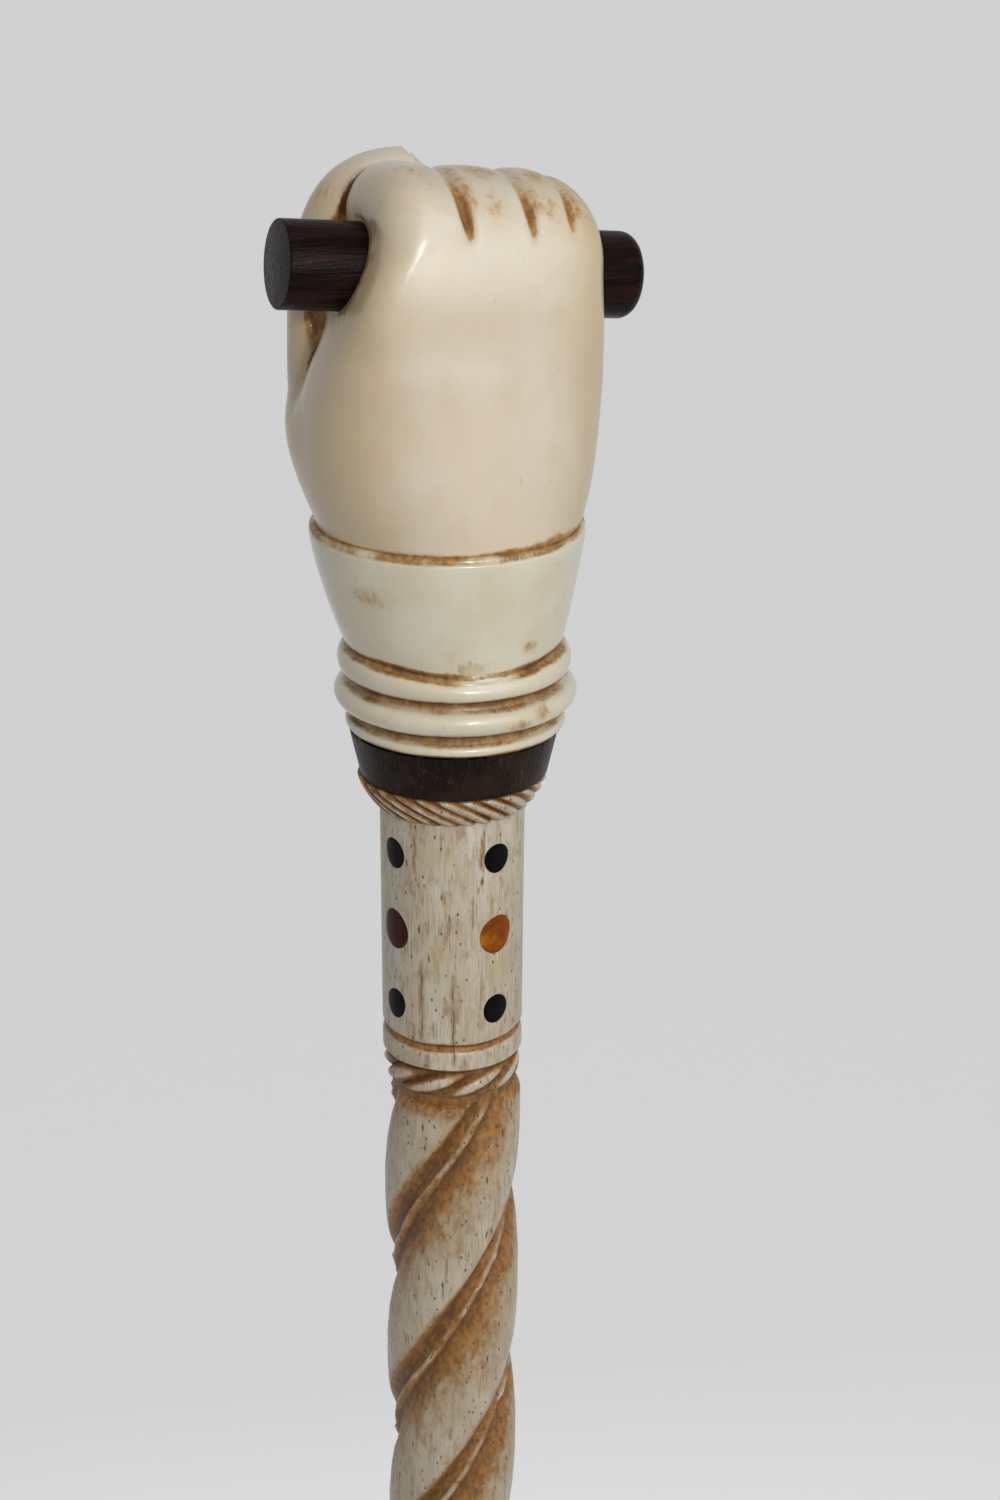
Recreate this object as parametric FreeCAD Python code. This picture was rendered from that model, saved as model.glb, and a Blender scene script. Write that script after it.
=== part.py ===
import FreeCAD, Part
import math
import os

# A sailor-made walking stick. An ivory fist grips a dark wooden bar and rises from an ivory cuff.
# A dark wooden spacer and a rope-carved bone collar part the cuff from a tapering bone shaft.
# The shaft has twelve inlaid dots, two bands of carved rope and a three-strand twist.
# A brass ferrule with an iron tip closes its foot.
#
# Frame: the stick's axis is Z, the tip's foot is at Z = 0, the bar lies along X,
# the back of the hand faces -Y and the thumb is on the -X side.

# Driving dimensions, in millimetres and degrees

fit_clearance = 0.05
cut_overrun = 1.0

# The foot
tip_pad_height = 3.0
tip_pad_inset = 0.25
tip_pad_round = 0.8
tip_stem_length = 6.0
ferrule_radius = 7.5
ferrule_wall = 0.8
ferrule_length = 38.0
ferrule_edge_chamfer = 0.3
nail_radius = 1.0
nail_length = 4.5
nail_recess = 0.04
nail_below_mouth = 9.0

# The shaft
shaft_tip_radius = 7.1
shaft_top_radius = 9.5
lower_plain_length = 441.5
twist_length = 263.0
twist_lead = 81.0
twist_starts = 3
twist_groove_depth = 1.9
twist_ridge_depth = 0.9
twist_edge_depth = 0.4
twist_phase_deg = -7.0
twist_step_deg = 12
neck_height = 1.2
neck_depth = 1.3
rope_band_height = 4.0
rope_band_depth = 0.8
rope_band_strands = 9
rope_band_turn_deg = 50.0
flat_band_height = 3.4
ring_groove_height = 1.2
ring_groove_depth = 0.6
dotted_length = 31.5
tenon_radius = 6.0
tenon_in_cuff = 12.0

# The inlaid dots
dot_columns = 4
first_column_deg = 16.7
dot_from_top = 5.3
dot_spacing = 10.9
black_dot_radius = 2.0
amber_dot_radius = 2.6
dot_depth = 3.0

# The collar and the spacer
collar_height = 4.3
collar_lip = 0.5
collar_step = 0.3
collar_bulge = 0.35
collar_strands = 26
collar_strand_depth = 0.65
collar_turn_deg = 34.0
spacer_height = 6.7
spacer_bottom_radius = 12.3
spacer_top_radius = 13.8

# The cuff
foot_bead_height = 1.5
foot_bead_radius = 14.35
low_groove_height = 1.4
low_groove_radius = 13.4
torus_height = 3.6
torus_radius = 15.8
mid_groove_height = 0.9
mid_groove_radius = 13.9
ring_bead_height = 3.6
ring_bead_radius = 15.15
top_groove_height = 0.5
top_groove_radius = 13.8
cup_height = 15.8
cup_foot_radius = 14.0
rim_radius = 17.6
rim_land = 2.0
rim_round = 0.5

# The centre rod
rod_radius = 2.5
rod_in_hand = 18.0
rod_in_tenon = 30.0
rod_chamfer = 0.5

# The bar
bar_radius = 5.4
bar_length = 46.6
bar_edge_chamfer = 0.9
bar_tilt_deg = 5.5

# The hand
palm_width = 38.0
palm_depth = 33.0
wrist_radius = 16.9
bar_above_wrist = 32.1
bar_offset_y = -2.0
finger_thickness = 7.6
finger_valley_depth = 1.2
finger_shoulder = 0.9
side_round = 5.4
index_width = 11.2
middle_width = 8.3
ring_width = 6.4
little_width = 6.6
fist_offset_x = 1.45
back_crown = 2.4
thumb_thickness = 10.0
oval_points = 16

# Heights along the stick

ferrule_foot_z = tip_pad_height
ferrule_mouth_z = ferrule_foot_z + ferrule_length
twist_foot_z = (
    ferrule_mouth_z
    + lower_plain_length
    + ring_groove_height
    + flat_band_height
    + rope_band_height
    + neck_height
)
twist_top_z = twist_foot_z + twist_length
dotted_foot_z = (
    twist_top_z + neck_height + rope_band_height + flat_band_height + ring_groove_height
)
shaft_top_z = dotted_foot_z + dotted_length
spacer_foot_z = shaft_top_z + collar_height
cuff_foot_z = spacer_foot_z + spacer_height
cuff_height = (
    foot_bead_height
    + low_groove_height
    + torus_height
    + mid_groove_height
    + ring_bead_height
    + top_groove_height
    + cup_height
)
wrist_z = cuff_foot_z + cuff_height
tenon_top_z = cuff_foot_z + tenon_in_cuff
bar_z = wrist_z + bar_above_wrist
ferrule_bore_radius = ferrule_radius - ferrule_wall


def point(x, y, z):
    return FreeCAD.Vector(x, y, z)


def polar(radius, degrees, z):
    """A point at that radius and angle about the stick's axis, where 0 faces -Y and 90 faces +X."""
    turn = math.radians(degrees)
    return point(radius * math.sin(turn), -radius * math.cos(turn), z)


def line(a, b):
    return Part.LineSegment(a, b).toShape()


def arc(a, middle, b):
    return Part.Arc(a, middle, b).toShape()


def cylinder(radius, foot_z, top_z):
    return Part.makeCylinder(radius, top_z - foot_z, point(0, 0, foot_z))


def turned(edges):
    """The solid that a closed outline in the XZ plane makes when it turns about the axis."""
    face = Part.Face(Part.Wire(edges))
    return face.revolve(point(0, 0, 0), point(0, 0, 1), 360)


def turned_through(corners):
    """A turned solid from (radius, z) corners joined by straight lines."""
    points = [point(r, 0, z) for r, z in corners]
    return turned([line(a, b) for a, b in zip(points, points[1:] + points[:1])])


def shaft_radius(z):
    """The outer radius of the tapering shaft at a height."""
    share = (z - ferrule_mouth_z) / (shaft_top_z - ferrule_mouth_z)
    return shaft_tip_radius + share * (shaft_top_radius - shaft_tip_radius)


# The twist and the carved rope are lofts through sections that turn as they climb

# Across one start of the twist, as shares of its turn: the upper scoop, the ridge between the two
# scoops, the lower scoop, the strand's near edge and the strand's crest
twist_shares = {"scoop": 0.09, "ridge": 0.21, "low_scoop": 0.29, "strand": 0.42, "crest": 0.70}


def twist_section(z):
    """One section of the twist: for each start, two scoops with a ridge between them, then a strand."""
    crest = shaft_radius(z)
    floor = crest - twist_groove_depth
    ridge = crest - twist_ridge_depth
    edge = crest - twist_edge_depth
    period = 360 / twist_starts
    turn = twist_phase_deg + 360 * (z - twist_top_z) / twist_lead
    edges = []
    for start in range(twist_starts):
        start_turn = turn + start * period
        strand_end = polar(edge, start_turn, z)
        scoop = polar(floor, start_turn + twist_shares["scoop"] * period, z)
        ridge_top = polar(ridge, start_turn + twist_shares["ridge"] * period, z)
        low_scoop = polar(floor, start_turn + twist_shares["low_scoop"] * period, z)
        strand_start = polar(edge, start_turn + twist_shares["strand"] * period, z)
        strand_crest = polar(crest, start_turn + twist_shares["crest"] * period, z)
        next_end = polar(edge, start_turn + period, z)
        edges += [
            arc(strand_end, scoop, ridge_top),
            arc(ridge_top, low_scoop, strand_start),
            arc(strand_start, strand_crest, next_end),
        ]
    return Part.Wire(edges)


def twist_body():
    turns = twist_length / twist_lead
    steps = math.ceil(turns * 360 / twist_step_deg)
    rise = twist_length / steps
    heights = [twist_foot_z + step * rise for step in range(steps + 1)]
    return Part.makeLoft([twist_section(z) for z in heights], True, False)


def scalloped_section(radius, depth, strands, turn_deg, z):
    """A ring of outward scallops, one for each strand of carved rope."""
    period = 360 / strands
    edges = []
    for strand in range(strands):
        at = turn_deg + strand * period
        edges.append(
            arc(
                polar(radius - depth, at, z),
                polar(radius, at + period / 2, z),
                polar(radius - depth, at + period, z),
            )
        )
    return Part.Wire(edges)


rope_step_share = 0.4


def rope_ring(foot_z, height, foot_radius, top_radius, bulge, depth, strands, turn_deg):
    """A ring carved as rope. Its strands lean by turn_deg over its height, and its side bulges."""
    strand_period = 360 / strands
    steps = math.ceil(abs(turn_deg) / (strand_period * rope_step_share))
    sections = []
    for step in range(steps + 1):
        share = step / steps
        radius = foot_radius + share * (top_radius - foot_radius)
        radius += bulge * math.sin(math.pi * share)
        z = foot_z + share * height
        sections.append(
            scalloped_section(radius, depth, strands, share * turn_deg, z)
        )
    return Part.makeLoft(sections, True, False)


def rope_band(foot_z):
    """A narrow band of carved rope on the shaft."""
    radius = shaft_radius(foot_z + rope_band_height / 2)
    edge_radius = radius - rope_band_depth / 2
    return rope_ring(
        foot_z,
        rope_band_height,
        edge_radius,
        edge_radius,
        rope_band_depth / 2,
        rope_band_depth,
        rope_band_strands,
        rope_band_turn_deg,
    )


# The shaft and what is let into it


def dot_places():
    """Each dot's name, radius, angle and height, column by column."""
    rows = [
        ("black_dot_upper", black_dot_radius),
        ("amber_dot", amber_dot_radius),
        ("black_dot_lower", black_dot_radius),
    ]
    places = []
    for column in range(dot_columns):
        degrees = first_column_deg + column * 360 / dot_columns
        for row, (name, radius) in enumerate(rows):
            z = shaft_top_z - dot_from_top - row * dot_spacing
            places.append((f"{name}_{column + 1}", radius, degrees, z))
    return places


def radial_plug(radius, inner_radius, outer_radius, degrees, z):
    """A round plug that points away from the axis."""
    outward = polar(1, degrees, 0)
    length = outer_radius - inner_radius
    return Part.makeCylinder(radius, length, polar(inner_radius, degrees, z), outward)


def shaft_envelope():
    """The plain tapering shaft, with no carving."""
    return turned_through(
        [
            (0, ferrule_mouth_z),
            (shaft_radius(ferrule_mouth_z), ferrule_mouth_z),
            (shaft_radius(shaft_top_z), shaft_top_z),
            (0, shaft_top_z),
        ]
    )


def banded_profile(near_z, towards):
    """The outline from a rope band's neck to the plain shaft: flat band, then ring groove.

    near_z is where the flat band meets the rope band, and towards is 1 upwards or -1 downwards."""
    band_end = near_z + towards * flat_band_height
    groove_end = band_end + towards * ring_groove_height
    groove_middle = (band_end + groove_end) / 2
    return [
        (shaft_radius(near_z), near_z),
        (shaft_radius(band_end), band_end),
        (shaft_radius(groove_middle) - ring_groove_depth, groove_middle),
        (shaft_radius(groove_end), groove_end),
    ]


def upper_shaft():
    """From the neck over the twist to the top of the tenon."""
    rope_foot = twist_top_z + neck_height
    rope_top = rope_foot + rope_band_height
    neck_radius = shaft_radius(twist_top_z) - neck_depth
    core = turned_through(
        [(0, twist_top_z), (neck_radius, twist_top_z), (neck_radius, rope_top)]
        + banded_profile(rope_top, 1)
        + [
            (shaft_radius(shaft_top_z), shaft_top_z),
            (tenon_radius, shaft_top_z),
            (tenon_radius, tenon_top_z),
            (0, tenon_top_z),
        ]
    )
    return core.fuse(rope_band(rope_foot))


def lower_shaft():
    """From the ferrule's seat to the neck under the twist."""
    rope_top = twist_foot_z - neck_height
    rope_foot = rope_top - rope_band_height
    neck_radius = shaft_radius(twist_foot_z) - neck_depth
    spigot_radius = ferrule_bore_radius - fit_clearance
    spigot_foot_z = ferrule_foot_z + tip_stem_length
    core = turned_through(
        [
            (0, spigot_foot_z),
            (spigot_radius, spigot_foot_z),
            (spigot_radius, ferrule_mouth_z),
            (shaft_radius(ferrule_mouth_z), ferrule_mouth_z),
        ]
        + banded_profile(rope_foot, -1)[::-1]
        + [(neck_radius, rope_foot), (neck_radius, twist_foot_z), (0, twist_foot_z)]
    )
    return core.fuse(rope_band(rope_foot))


def rod_foot_z():
    return tenon_top_z - rod_in_tenon


def make_shaft():
    shaft = lower_shaft().fuse([twist_body(), upper_shaft()])
    cuts = [
        cylinder(rod_radius + fit_clearance, rod_foot_z(), tenon_top_z + cut_overrun)
    ]
    for _, radius, degrees, z in dot_places():
        floor = shaft_radius(z) - dot_depth
        outside = shaft_radius(z) + cut_overrun
        cuts.append(
            radial_plug(radius + fit_clearance, floor, outside, degrees, z)
        )
    for degrees in nail_angles():
        cuts.append(nail(degrees, fit_clearance))
    return shaft.cut(cuts)


def make_dots():
    envelope = shaft_envelope()
    dots = {}
    for name, radius, degrees, z in dot_places():
        floor = shaft_radius(z) - dot_depth
        outside = shaft_radius(z) + cut_overrun
        plug = radial_plug(radius, floor, outside, degrees, z)
        dots[name] = plug.common(envelope)
    return dots


# The ferrule, its tip and its nails


def nail_angles():
    return [90, 270]


def nail(degrees, clearance=0.0):
    """A nail through the ferrule's wall into the shaft, its head a little under the surface."""
    z = ferrule_mouth_z - nail_below_mouth
    outer = ferrule_radius - nail_recess + (cut_overrun if clearance else 0)
    inner = ferrule_radius - nail_length - clearance
    rod = radial_plug(nail_radius + clearance, inner, outer, degrees, z)
    if clearance:
        return rod
    return rod.common(
        cylinder(ferrule_radius - nail_recess, ferrule_foot_z, ferrule_mouth_z)
    )


def make_ferrule():
    outer = ferrule_radius
    chamfer = ferrule_edge_chamfer
    tube = turned_through(
        [
            (ferrule_bore_radius, ferrule_foot_z),
            (outer - chamfer, ferrule_foot_z),
            (outer, ferrule_foot_z + chamfer),
            (outer, ferrule_mouth_z - chamfer),
            (outer - chamfer, ferrule_mouth_z),
            (ferrule_bore_radius, ferrule_mouth_z),
        ]
    )
    return tube.cut([nail(degrees, fit_clearance) for degrees in nail_angles()])


def make_tip():
    """An iron pad with a stem that fills the foot of the ferrule."""
    pad = ferrule_radius - tip_pad_inset
    stem = ferrule_bore_radius - fit_clearance
    stem_top = ferrule_foot_z + tip_stem_length
    corner = tip_pad_round * (1 - math.sqrt(0.5))
    return turned(
        [
            line(point(0, 0, 0), point(pad - tip_pad_round, 0, 0)),
            arc(
                point(pad - tip_pad_round, 0, 0),
                point(pad - corner, 0, corner),
                point(pad, 0, tip_pad_round),
            ),
            line(point(pad, 0, tip_pad_round), point(pad, 0, ferrule_foot_z)),
            line(point(pad, 0, ferrule_foot_z), point(stem, 0, ferrule_foot_z)),
            line(point(stem, 0, ferrule_foot_z), point(stem, 0, stem_top)),
            line(point(stem, 0, stem_top), point(0, 0, stem_top)),
            line(point(0, 0, stem_top), point(0, 0, 0)),
        ]
    )


# The rings between the shaft and the hand


def make_collar():
    ring = rope_ring(
        shaft_top_z,
        collar_height,
        shaft_top_radius + collar_lip,
        spacer_bottom_radius + collar_step,
        collar_bulge,
        collar_strand_depth,
        collar_strands,
        -collar_turn_deg,
    )
    bore = cylinder(
        tenon_radius + fit_clearance,
        shaft_top_z - cut_overrun,
        spacer_foot_z + cut_overrun,
    )
    return ring.cut(bore)


def make_spacer():
    bore = tenon_radius + fit_clearance
    return turned_through(
        [
            (bore, spacer_foot_z),
            (spacer_bottom_radius, spacer_foot_z),
            (spacer_top_radius, cuff_foot_z),
            (bore, cuff_foot_z),
        ]
    )


def make_cuff():
    """A turned cuff: a foot bead, a full round, a ring bead, then a cup whose rim holds the wrist."""
    low_groove_z = cuff_foot_z + foot_bead_height
    torus_z = low_groove_z + low_groove_height
    mid_groove_z = torus_z + torus_height
    ring_z = mid_groove_z + mid_groove_height
    top_groove_z = ring_z + ring_bead_height
    cup_z = top_groove_z + top_groove_height
    land_z = wrist_z - rim_land
    socket = tenon_radius + fit_clearance
    rod_hole = rod_radius + fit_clearance
    rim_corner = rim_round * (1 - math.sqrt(0.5))
    foot_corner = foot_bead_radius - foot_bead_height / 2

    def at(radius, z):
        return point(radius, 0, z)

    def bead(foot_radius, foot_z, radius, top_z, top_radius):
        """A rounded bead from one groove to the next."""
        middle = at(radius, (foot_z + top_z) / 2)
        return arc(at(foot_radius, foot_z), middle, at(top_radius, top_z))

    cup_bulge_share = 0.59
    cup_middle = at(
        cup_foot_radius + cup_bulge_share * (rim_radius - cup_foot_radius),
        (cup_z + land_z) / 2,
    )
    edges = [
        line(at(socket, cuff_foot_z), at(foot_corner, cuff_foot_z)),
        bead(foot_corner, cuff_foot_z, foot_bead_radius, low_groove_z, foot_corner),
        line(at(foot_corner, low_groove_z), at(low_groove_radius, low_groove_z)),
        line(at(low_groove_radius, low_groove_z), at(low_groove_radius, torus_z)),
        bead(low_groove_radius, torus_z, torus_radius, mid_groove_z, mid_groove_radius),
        line(at(mid_groove_radius, mid_groove_z), at(mid_groove_radius, ring_z)),
        bead(
            mid_groove_radius, ring_z, ring_bead_radius, top_groove_z, top_groove_radius
        ),
        line(at(top_groove_radius, top_groove_z), at(cup_foot_radius, cup_z)),
        arc(at(cup_foot_radius, cup_z), cup_middle, at(rim_radius, land_z)),
        line(at(rim_radius, land_z), at(rim_radius, wrist_z - rim_round)),
        arc(
            at(rim_radius, wrist_z - rim_round),
            at(rim_radius - rim_corner, wrist_z - rim_corner),
            at(rim_radius - rim_round, wrist_z),
        ),
        line(at(rim_radius - rim_round, wrist_z), at(rod_hole, wrist_z)),
        line(at(rod_hole, wrist_z), at(rod_hole, tenon_top_z)),
        line(at(rod_hole, tenon_top_z), at(socket, tenon_top_z)),
        line(at(socket, tenon_top_z), at(socket, cuff_foot_z)),
    ]
    return turned(edges)


def make_rod():
    foot = rod_foot_z()
    top = wrist_z + rod_in_hand
    return turned_through(
        [
            (0, foot),
            (rod_radius - rod_chamfer, foot),
            (rod_radius, foot + rod_chamfer),
            (rod_radius, top - rod_chamfer),
            (rod_radius - rod_chamfer, top),
            (0, top),
        ]
    )


# The bar and the hand that grips it


def bar_direction():
    tilt = math.radians(bar_tilt_deg)
    return point(math.cos(tilt), 0, -math.sin(tilt))


def bar_rod(radius, length, centre_z):
    """A plain rod along the bar's line, its middle at that height."""
    along = bar_direction()
    centre = point(0, bar_offset_y, centre_z)
    return Part.makeCylinder(radius, length, centre - along * (length / 2), along)


def make_bar():
    """A round wooden bar with its end edges eased."""
    along = bar_direction()
    start = point(0, bar_offset_y, bar_z) - along * (bar_length / 2)
    neck = bar_radius - bar_edge_chamfer
    middle = bar_length - 2 * bar_edge_chamfer
    near = Part.makeCone(neck, bar_radius, bar_edge_chamfer, start, along)
    body = Part.makeCylinder(
        bar_radius, middle, start + along * bar_edge_chamfer, along
    )
    far = Part.makeCone(
        bar_radius,
        neck,
        bar_edge_chamfer,
        start + along * (bar_edge_chamfer + middle),
        along,
    )
    return near.fuse([body, far]).removeSplitter()


def oval(centre, half_wide, wide_way, half_deep, deep_way):
    """A closed oval about centre. Every oval starts on its wide way, so lofts line up."""
    points = []
    for step in range(oval_points):
        turn = 2 * math.pi * step / oval_points
        wide = wide_way * (half_wide * math.cos(turn))
        deep = deep_way * (half_deep * math.sin(turn))
        points.append(centre + wide + deep)
    curve = Part.BSplineCurve()
    curve.interpolate(Points=points, PeriodicFlag=True)
    return Part.Wire([curve.toShape()])


# The hand is carved in its own frame, with the wrist at zero, and then set on the cuff

# Palm sections, as shares: height of the bar's height over the wrist, then centre X and half width
# of the palm's width, then centre Y and half depth of its depth. The last ones close inside the fist.
palm_section_shares = [
    (0.143, -0.008, 0.476, 0.000, 0.512),
    (0.330, -0.018, 0.500, -0.003, 0.503),
    (0.517, -0.005, 0.497, -0.030, 0.464),
    (0.673, 0.016, 0.479, -0.091, 0.394),
    (0.829, 0.036, 0.442, -0.165, 0.312),
    (0.955, 0.045, 0.370, -0.165, 0.210),
    (1.068, 0.045, 0.260, -0.150, 0.120),
]


def palm():
    """The wrist, the heel and the lower back of the hand."""
    way_x, way_y = point(1, 0, 0), point(0, 1, 0)
    sections = [oval(point(0, 0, 0), wrist_radius, way_x, wrist_radius, way_y)]
    for height, centre_x, half_x, centre_y, half_y in palm_section_shares:
        place = point(
            centre_x * palm_width, centre_y * palm_depth, height * bar_above_wrist
        )
        sections.append(
            oval(place, half_x * palm_width, way_x, half_y * palm_depth, way_y)
        )
    return Part.makeLoft(sections, True, False)


# The fist's outline seen along the bar: the angle from the back of the hand over the top, in degrees,
# the outer reach as a share of the bar's radius and a finger's thickness together,
# and the share of the valley depth between two fingers there
fist_outline_shares = [
    (-90, 0.90, 0.0),
    (-62, 1.05, 0.0),
    (-38, 1.12, 0.0),
    (-14, 1.03, 0.0),
    (10, 0.99, 0.0),
    (28, 1.045, 0.3),
    (48, 1.07, 1.0),
    (70, 1.01, 1.0),
    (90, 0.97, 1.0),
    (110, 0.96, 1.0),
    (130, 1.00, 1.0),
    (150, 1.07, 1.0),
    (170, 1.06, 1.0),
    (190, 0.99, 1.0),
    (208, 1.07, 1.0),
    (228, 1.10, 1.0),
    (248, 1.00, 1.0),
]
side_size_share = 0.56
side_power = 0.6
side_step_shares = [0, 0.06, 0.18, 0.36, 0.60, 0.82]
middle_size_share = 0.99


def fist_width():
    return index_width + middle_width + ring_width + little_width


def thumb_side_x():
    return fist_offset_x - fist_width() / 2


def fist_section(x, size, valley):
    """The fist's outline in the plane at x, as a closed curve round the bar."""
    drop = x * math.tan(math.radians(bar_tilt_deg))
    centre = point(x, bar_offset_y, bar_above_wrist - drop)
    points = []
    for degrees, reach_share, valley_share in fist_outline_shares:
        turn = math.radians(degrees)
        reach = size * reach_share * (bar_radius + finger_thickness)
        reach -= valley * valley_share * finger_valley_depth
        from_middle = 2 * (x - fist_offset_x) / fist_width()
        reach -= (1 - valley_share) * back_crown * from_middle**2
        points.append(centre + point(0, -math.cos(turn), math.sin(turn)) * reach)
    curve = Part.BSplineCurve()
    curve.interpolate(Points=points, PeriodicFlag=True)
    return Part.Wire([curve.toShape()])


def fist():
    """The four curled fingers and the back of the hand behind the knuckles, as one carved block."""
    edge = thumb_side_x()
    little_side_x = edge + fist_width()
    stations = []
    for share in side_step_shares:
        size = side_size_share + (1 - side_size_share) * share**side_power
        stations.append((edge + share * side_round, size, 0))
    stations.append((edge + side_round, 1, 0))
    for width in [index_width, middle_width, ring_width]:
        edge += width
        stations.append((edge - finger_shoulder, middle_size_share, 0))
        stations.append((edge, middle_size_share, 1))
        stations.append((edge + finger_shoulder, middle_size_share, 0))
    for share in reversed(side_step_shares):
        size = side_size_share + (middle_size_share - side_size_share) * share**side_power
        stations.append((little_side_x - share * side_round, size, 0))
    sections = [fist_section(x, size, valley) for x, size, valley in stations]
    straight_between_sections = True
    return Part.makeLoft(sections, True, straight_between_sections)


# The thumb's path, as shares: X in from the fist's thumb side, of the thumb's thickness,
# Y from the bar's line, of the bar's radius and a finger's thickness together,
# Z of the bar's height over the wrist, then the radius of the thumb's thickness
thumb_path_shares = [
    (0.72, 0.38, 0.13, 0.50),
    (0.40, 0.64, 0.33, 0.78),
    (0.25, 0.81, 0.52, 0.62),
    (0.20, 0.91, 0.70, 0.52),
    (0.22, 0.94, 0.89, 0.51),
    (0.30, 0.95, 1.08, 0.50),
    (0.50, 0.91, 1.21, 0.49),
    (0.86, 0.83, 1.27, 0.46),
    (1.22, 0.77, 1.28, 0.41),
]


def thumb():
    """The thumb rises from the heel of the palm and bends across the fingers."""
    reach = bar_radius + finger_thickness
    places = [
        point(
            thumb_side_x() + x * thumb_thickness,
            bar_offset_y + y * reach,
            z * bar_above_wrist,
        )
        for x, y, z, _ in thumb_path_shares
    ]
    radii = [share * thumb_thickness for _, _, _, share in thumb_path_shares]
    sections = []
    for number, (place, radius) in enumerate(zip(places, radii)):
        before = places[max(number - 1, 0)]
        after = places[min(number + 1, len(places) - 1)]
        along = (after - before).normalize()
        across = along.cross(point(0, 1, 0)).normalize()
        sections.append(oval(place, radius, across, radius, along.cross(across)))
    return Part.makeLoft(sections, True, False)


def make_hand():
    hand = palm().fuse(fist()).fuse(thumb())
    bore = bar_rod(bar_radius + fit_clearance, 2 * bar_length, bar_above_wrist)
    rod_hole = cylinder(rod_radius + fit_clearance, -cut_overrun, rod_in_hand)
    hand = hand.cut([bore, rod_hole])
    hand.translate(point(0, 0, wrist_z))
    return hand


# Every piece under its own name

pieces = {
    "tip": make_tip(),
    "ferrule": make_ferrule(),
    "ferrule_nail_right": nail(nail_angles()[0]),
    "ferrule_nail_left": nail(nail_angles()[1]),
    "shaft": make_shaft(),
    "rope_collar": make_collar(),
    "spacer_ring": make_spacer(),
    "cuff": make_cuff(),
    "centre_rod": make_rod(),
    "grip_bar": make_bar(),
    "hand": make_hand(),
}
pieces.update(make_dots())

os.makedirs("parts", exist_ok=True)
for name, shape in pieces.items():
    solids = shape.Solids
    kept = solids[0] if len(solids) == 1 else Part.makeCompound(solids)
    kept.exportStep(f"parts/{name}.step")
    print(name, len(solids), shape.isValid(), round(shape.Volume, 1))
print("overall height", round(pieces["hand"].optimalBoundingBox(False).ZMax, 1))
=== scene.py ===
import math

import bmesh
import bpy
import numpy as np
from mathutils import Matrix, Vector


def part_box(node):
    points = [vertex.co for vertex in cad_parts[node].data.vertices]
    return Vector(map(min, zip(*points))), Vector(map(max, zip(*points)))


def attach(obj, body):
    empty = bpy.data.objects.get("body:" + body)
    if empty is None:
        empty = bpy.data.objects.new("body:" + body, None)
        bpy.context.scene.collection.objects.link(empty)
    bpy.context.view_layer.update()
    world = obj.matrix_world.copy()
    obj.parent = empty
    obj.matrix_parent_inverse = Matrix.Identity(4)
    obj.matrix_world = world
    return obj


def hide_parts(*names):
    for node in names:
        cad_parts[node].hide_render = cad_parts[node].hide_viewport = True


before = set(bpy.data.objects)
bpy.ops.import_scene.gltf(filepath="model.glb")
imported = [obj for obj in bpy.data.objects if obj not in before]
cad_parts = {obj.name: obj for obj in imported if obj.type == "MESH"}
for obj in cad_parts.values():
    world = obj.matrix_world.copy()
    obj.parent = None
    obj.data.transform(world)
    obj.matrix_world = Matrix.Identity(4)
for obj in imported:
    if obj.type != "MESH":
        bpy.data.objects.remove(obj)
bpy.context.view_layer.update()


# The tip is an iron pad, forged flat underfoot, with a stem driven into the ferrule's end.
# Its edge is rounded by wear and its skin is dark, pitted and a little rusty.

MM = 0.001


class Wire:
    """A socket among a finish's nodes. Sums on it add the Math nodes that work them out."""

    def __init__(self, finish, socket):
        self.finish = finish
        self.socket = socket

    def maths(self, operation, *values):
        return self.finish.add("ShaderNodeMath", {"operation": operation}, dict(enumerate(values)))

    def __add__(self, other):
        return self.maths("ADD", self, other)

    def __sub__(self, other):
        return self.maths("SUBTRACT", self, other)

    def __rsub__(self, other):
        return self.maths("SUBTRACT", other, self)

    def __mul__(self, other):
        return self.maths("MULTIPLY", self, other)

    def __abs__(self):
        return self.maths("ABSOLUTE", self)

    def larger(self, other):
        return self.maths("MAXIMUM", self, other)

    def above(self, low, high):
        """0 up to low, 1 from high on, and a soft step between them."""
        settings = {"interpolation_type": "SMOOTHSTEP"}
        sockets = {"Value": self, "From Min": low, "From Max": high}
        return self.finish.add("ShaderNodeMapRange", settings, sockets)

    __radd__ = __add__
    __rmul__ = __mul__


class Workbench:
    """The nodes of a material or a room of light, and the ways to add to them."""

    def __init__(self, owner):
        owner.use_nodes = True
        self.nodes = owner.node_tree.nodes
        self.links = owner.node_tree.links

    def add(self, kind, settings=None, sockets=None, output=0):
        node = self.nodes.new(kind)
        for key, value in (settings or {}).items():
            setattr(node, key, value)
        for key, value in (sockets or {}).items():
            if isinstance(value, Wire):
                self.links.new(value.socket, node.inputs[key])
            elif isinstance(value, tuple) and node.inputs[key].type == "RGBA":
                node.inputs[key].default_value = (*value, 1)
            else:
                node.inputs[key].default_value = value
        return Wire(self, node.outputs[output])

    def looked_at(self):
        """1 to the camera and to what metal and glass show, 0 to the light that falls on things."""
        rays = ["Is Camera Ray", "Is Glossy Ray", "Is Transmission Ray"]
        camera, glossy, clear = [self.add("ShaderNodeLightPath", output=ray) for ray in rays]
        return camera.larger(glossy).larger(clear)


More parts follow.
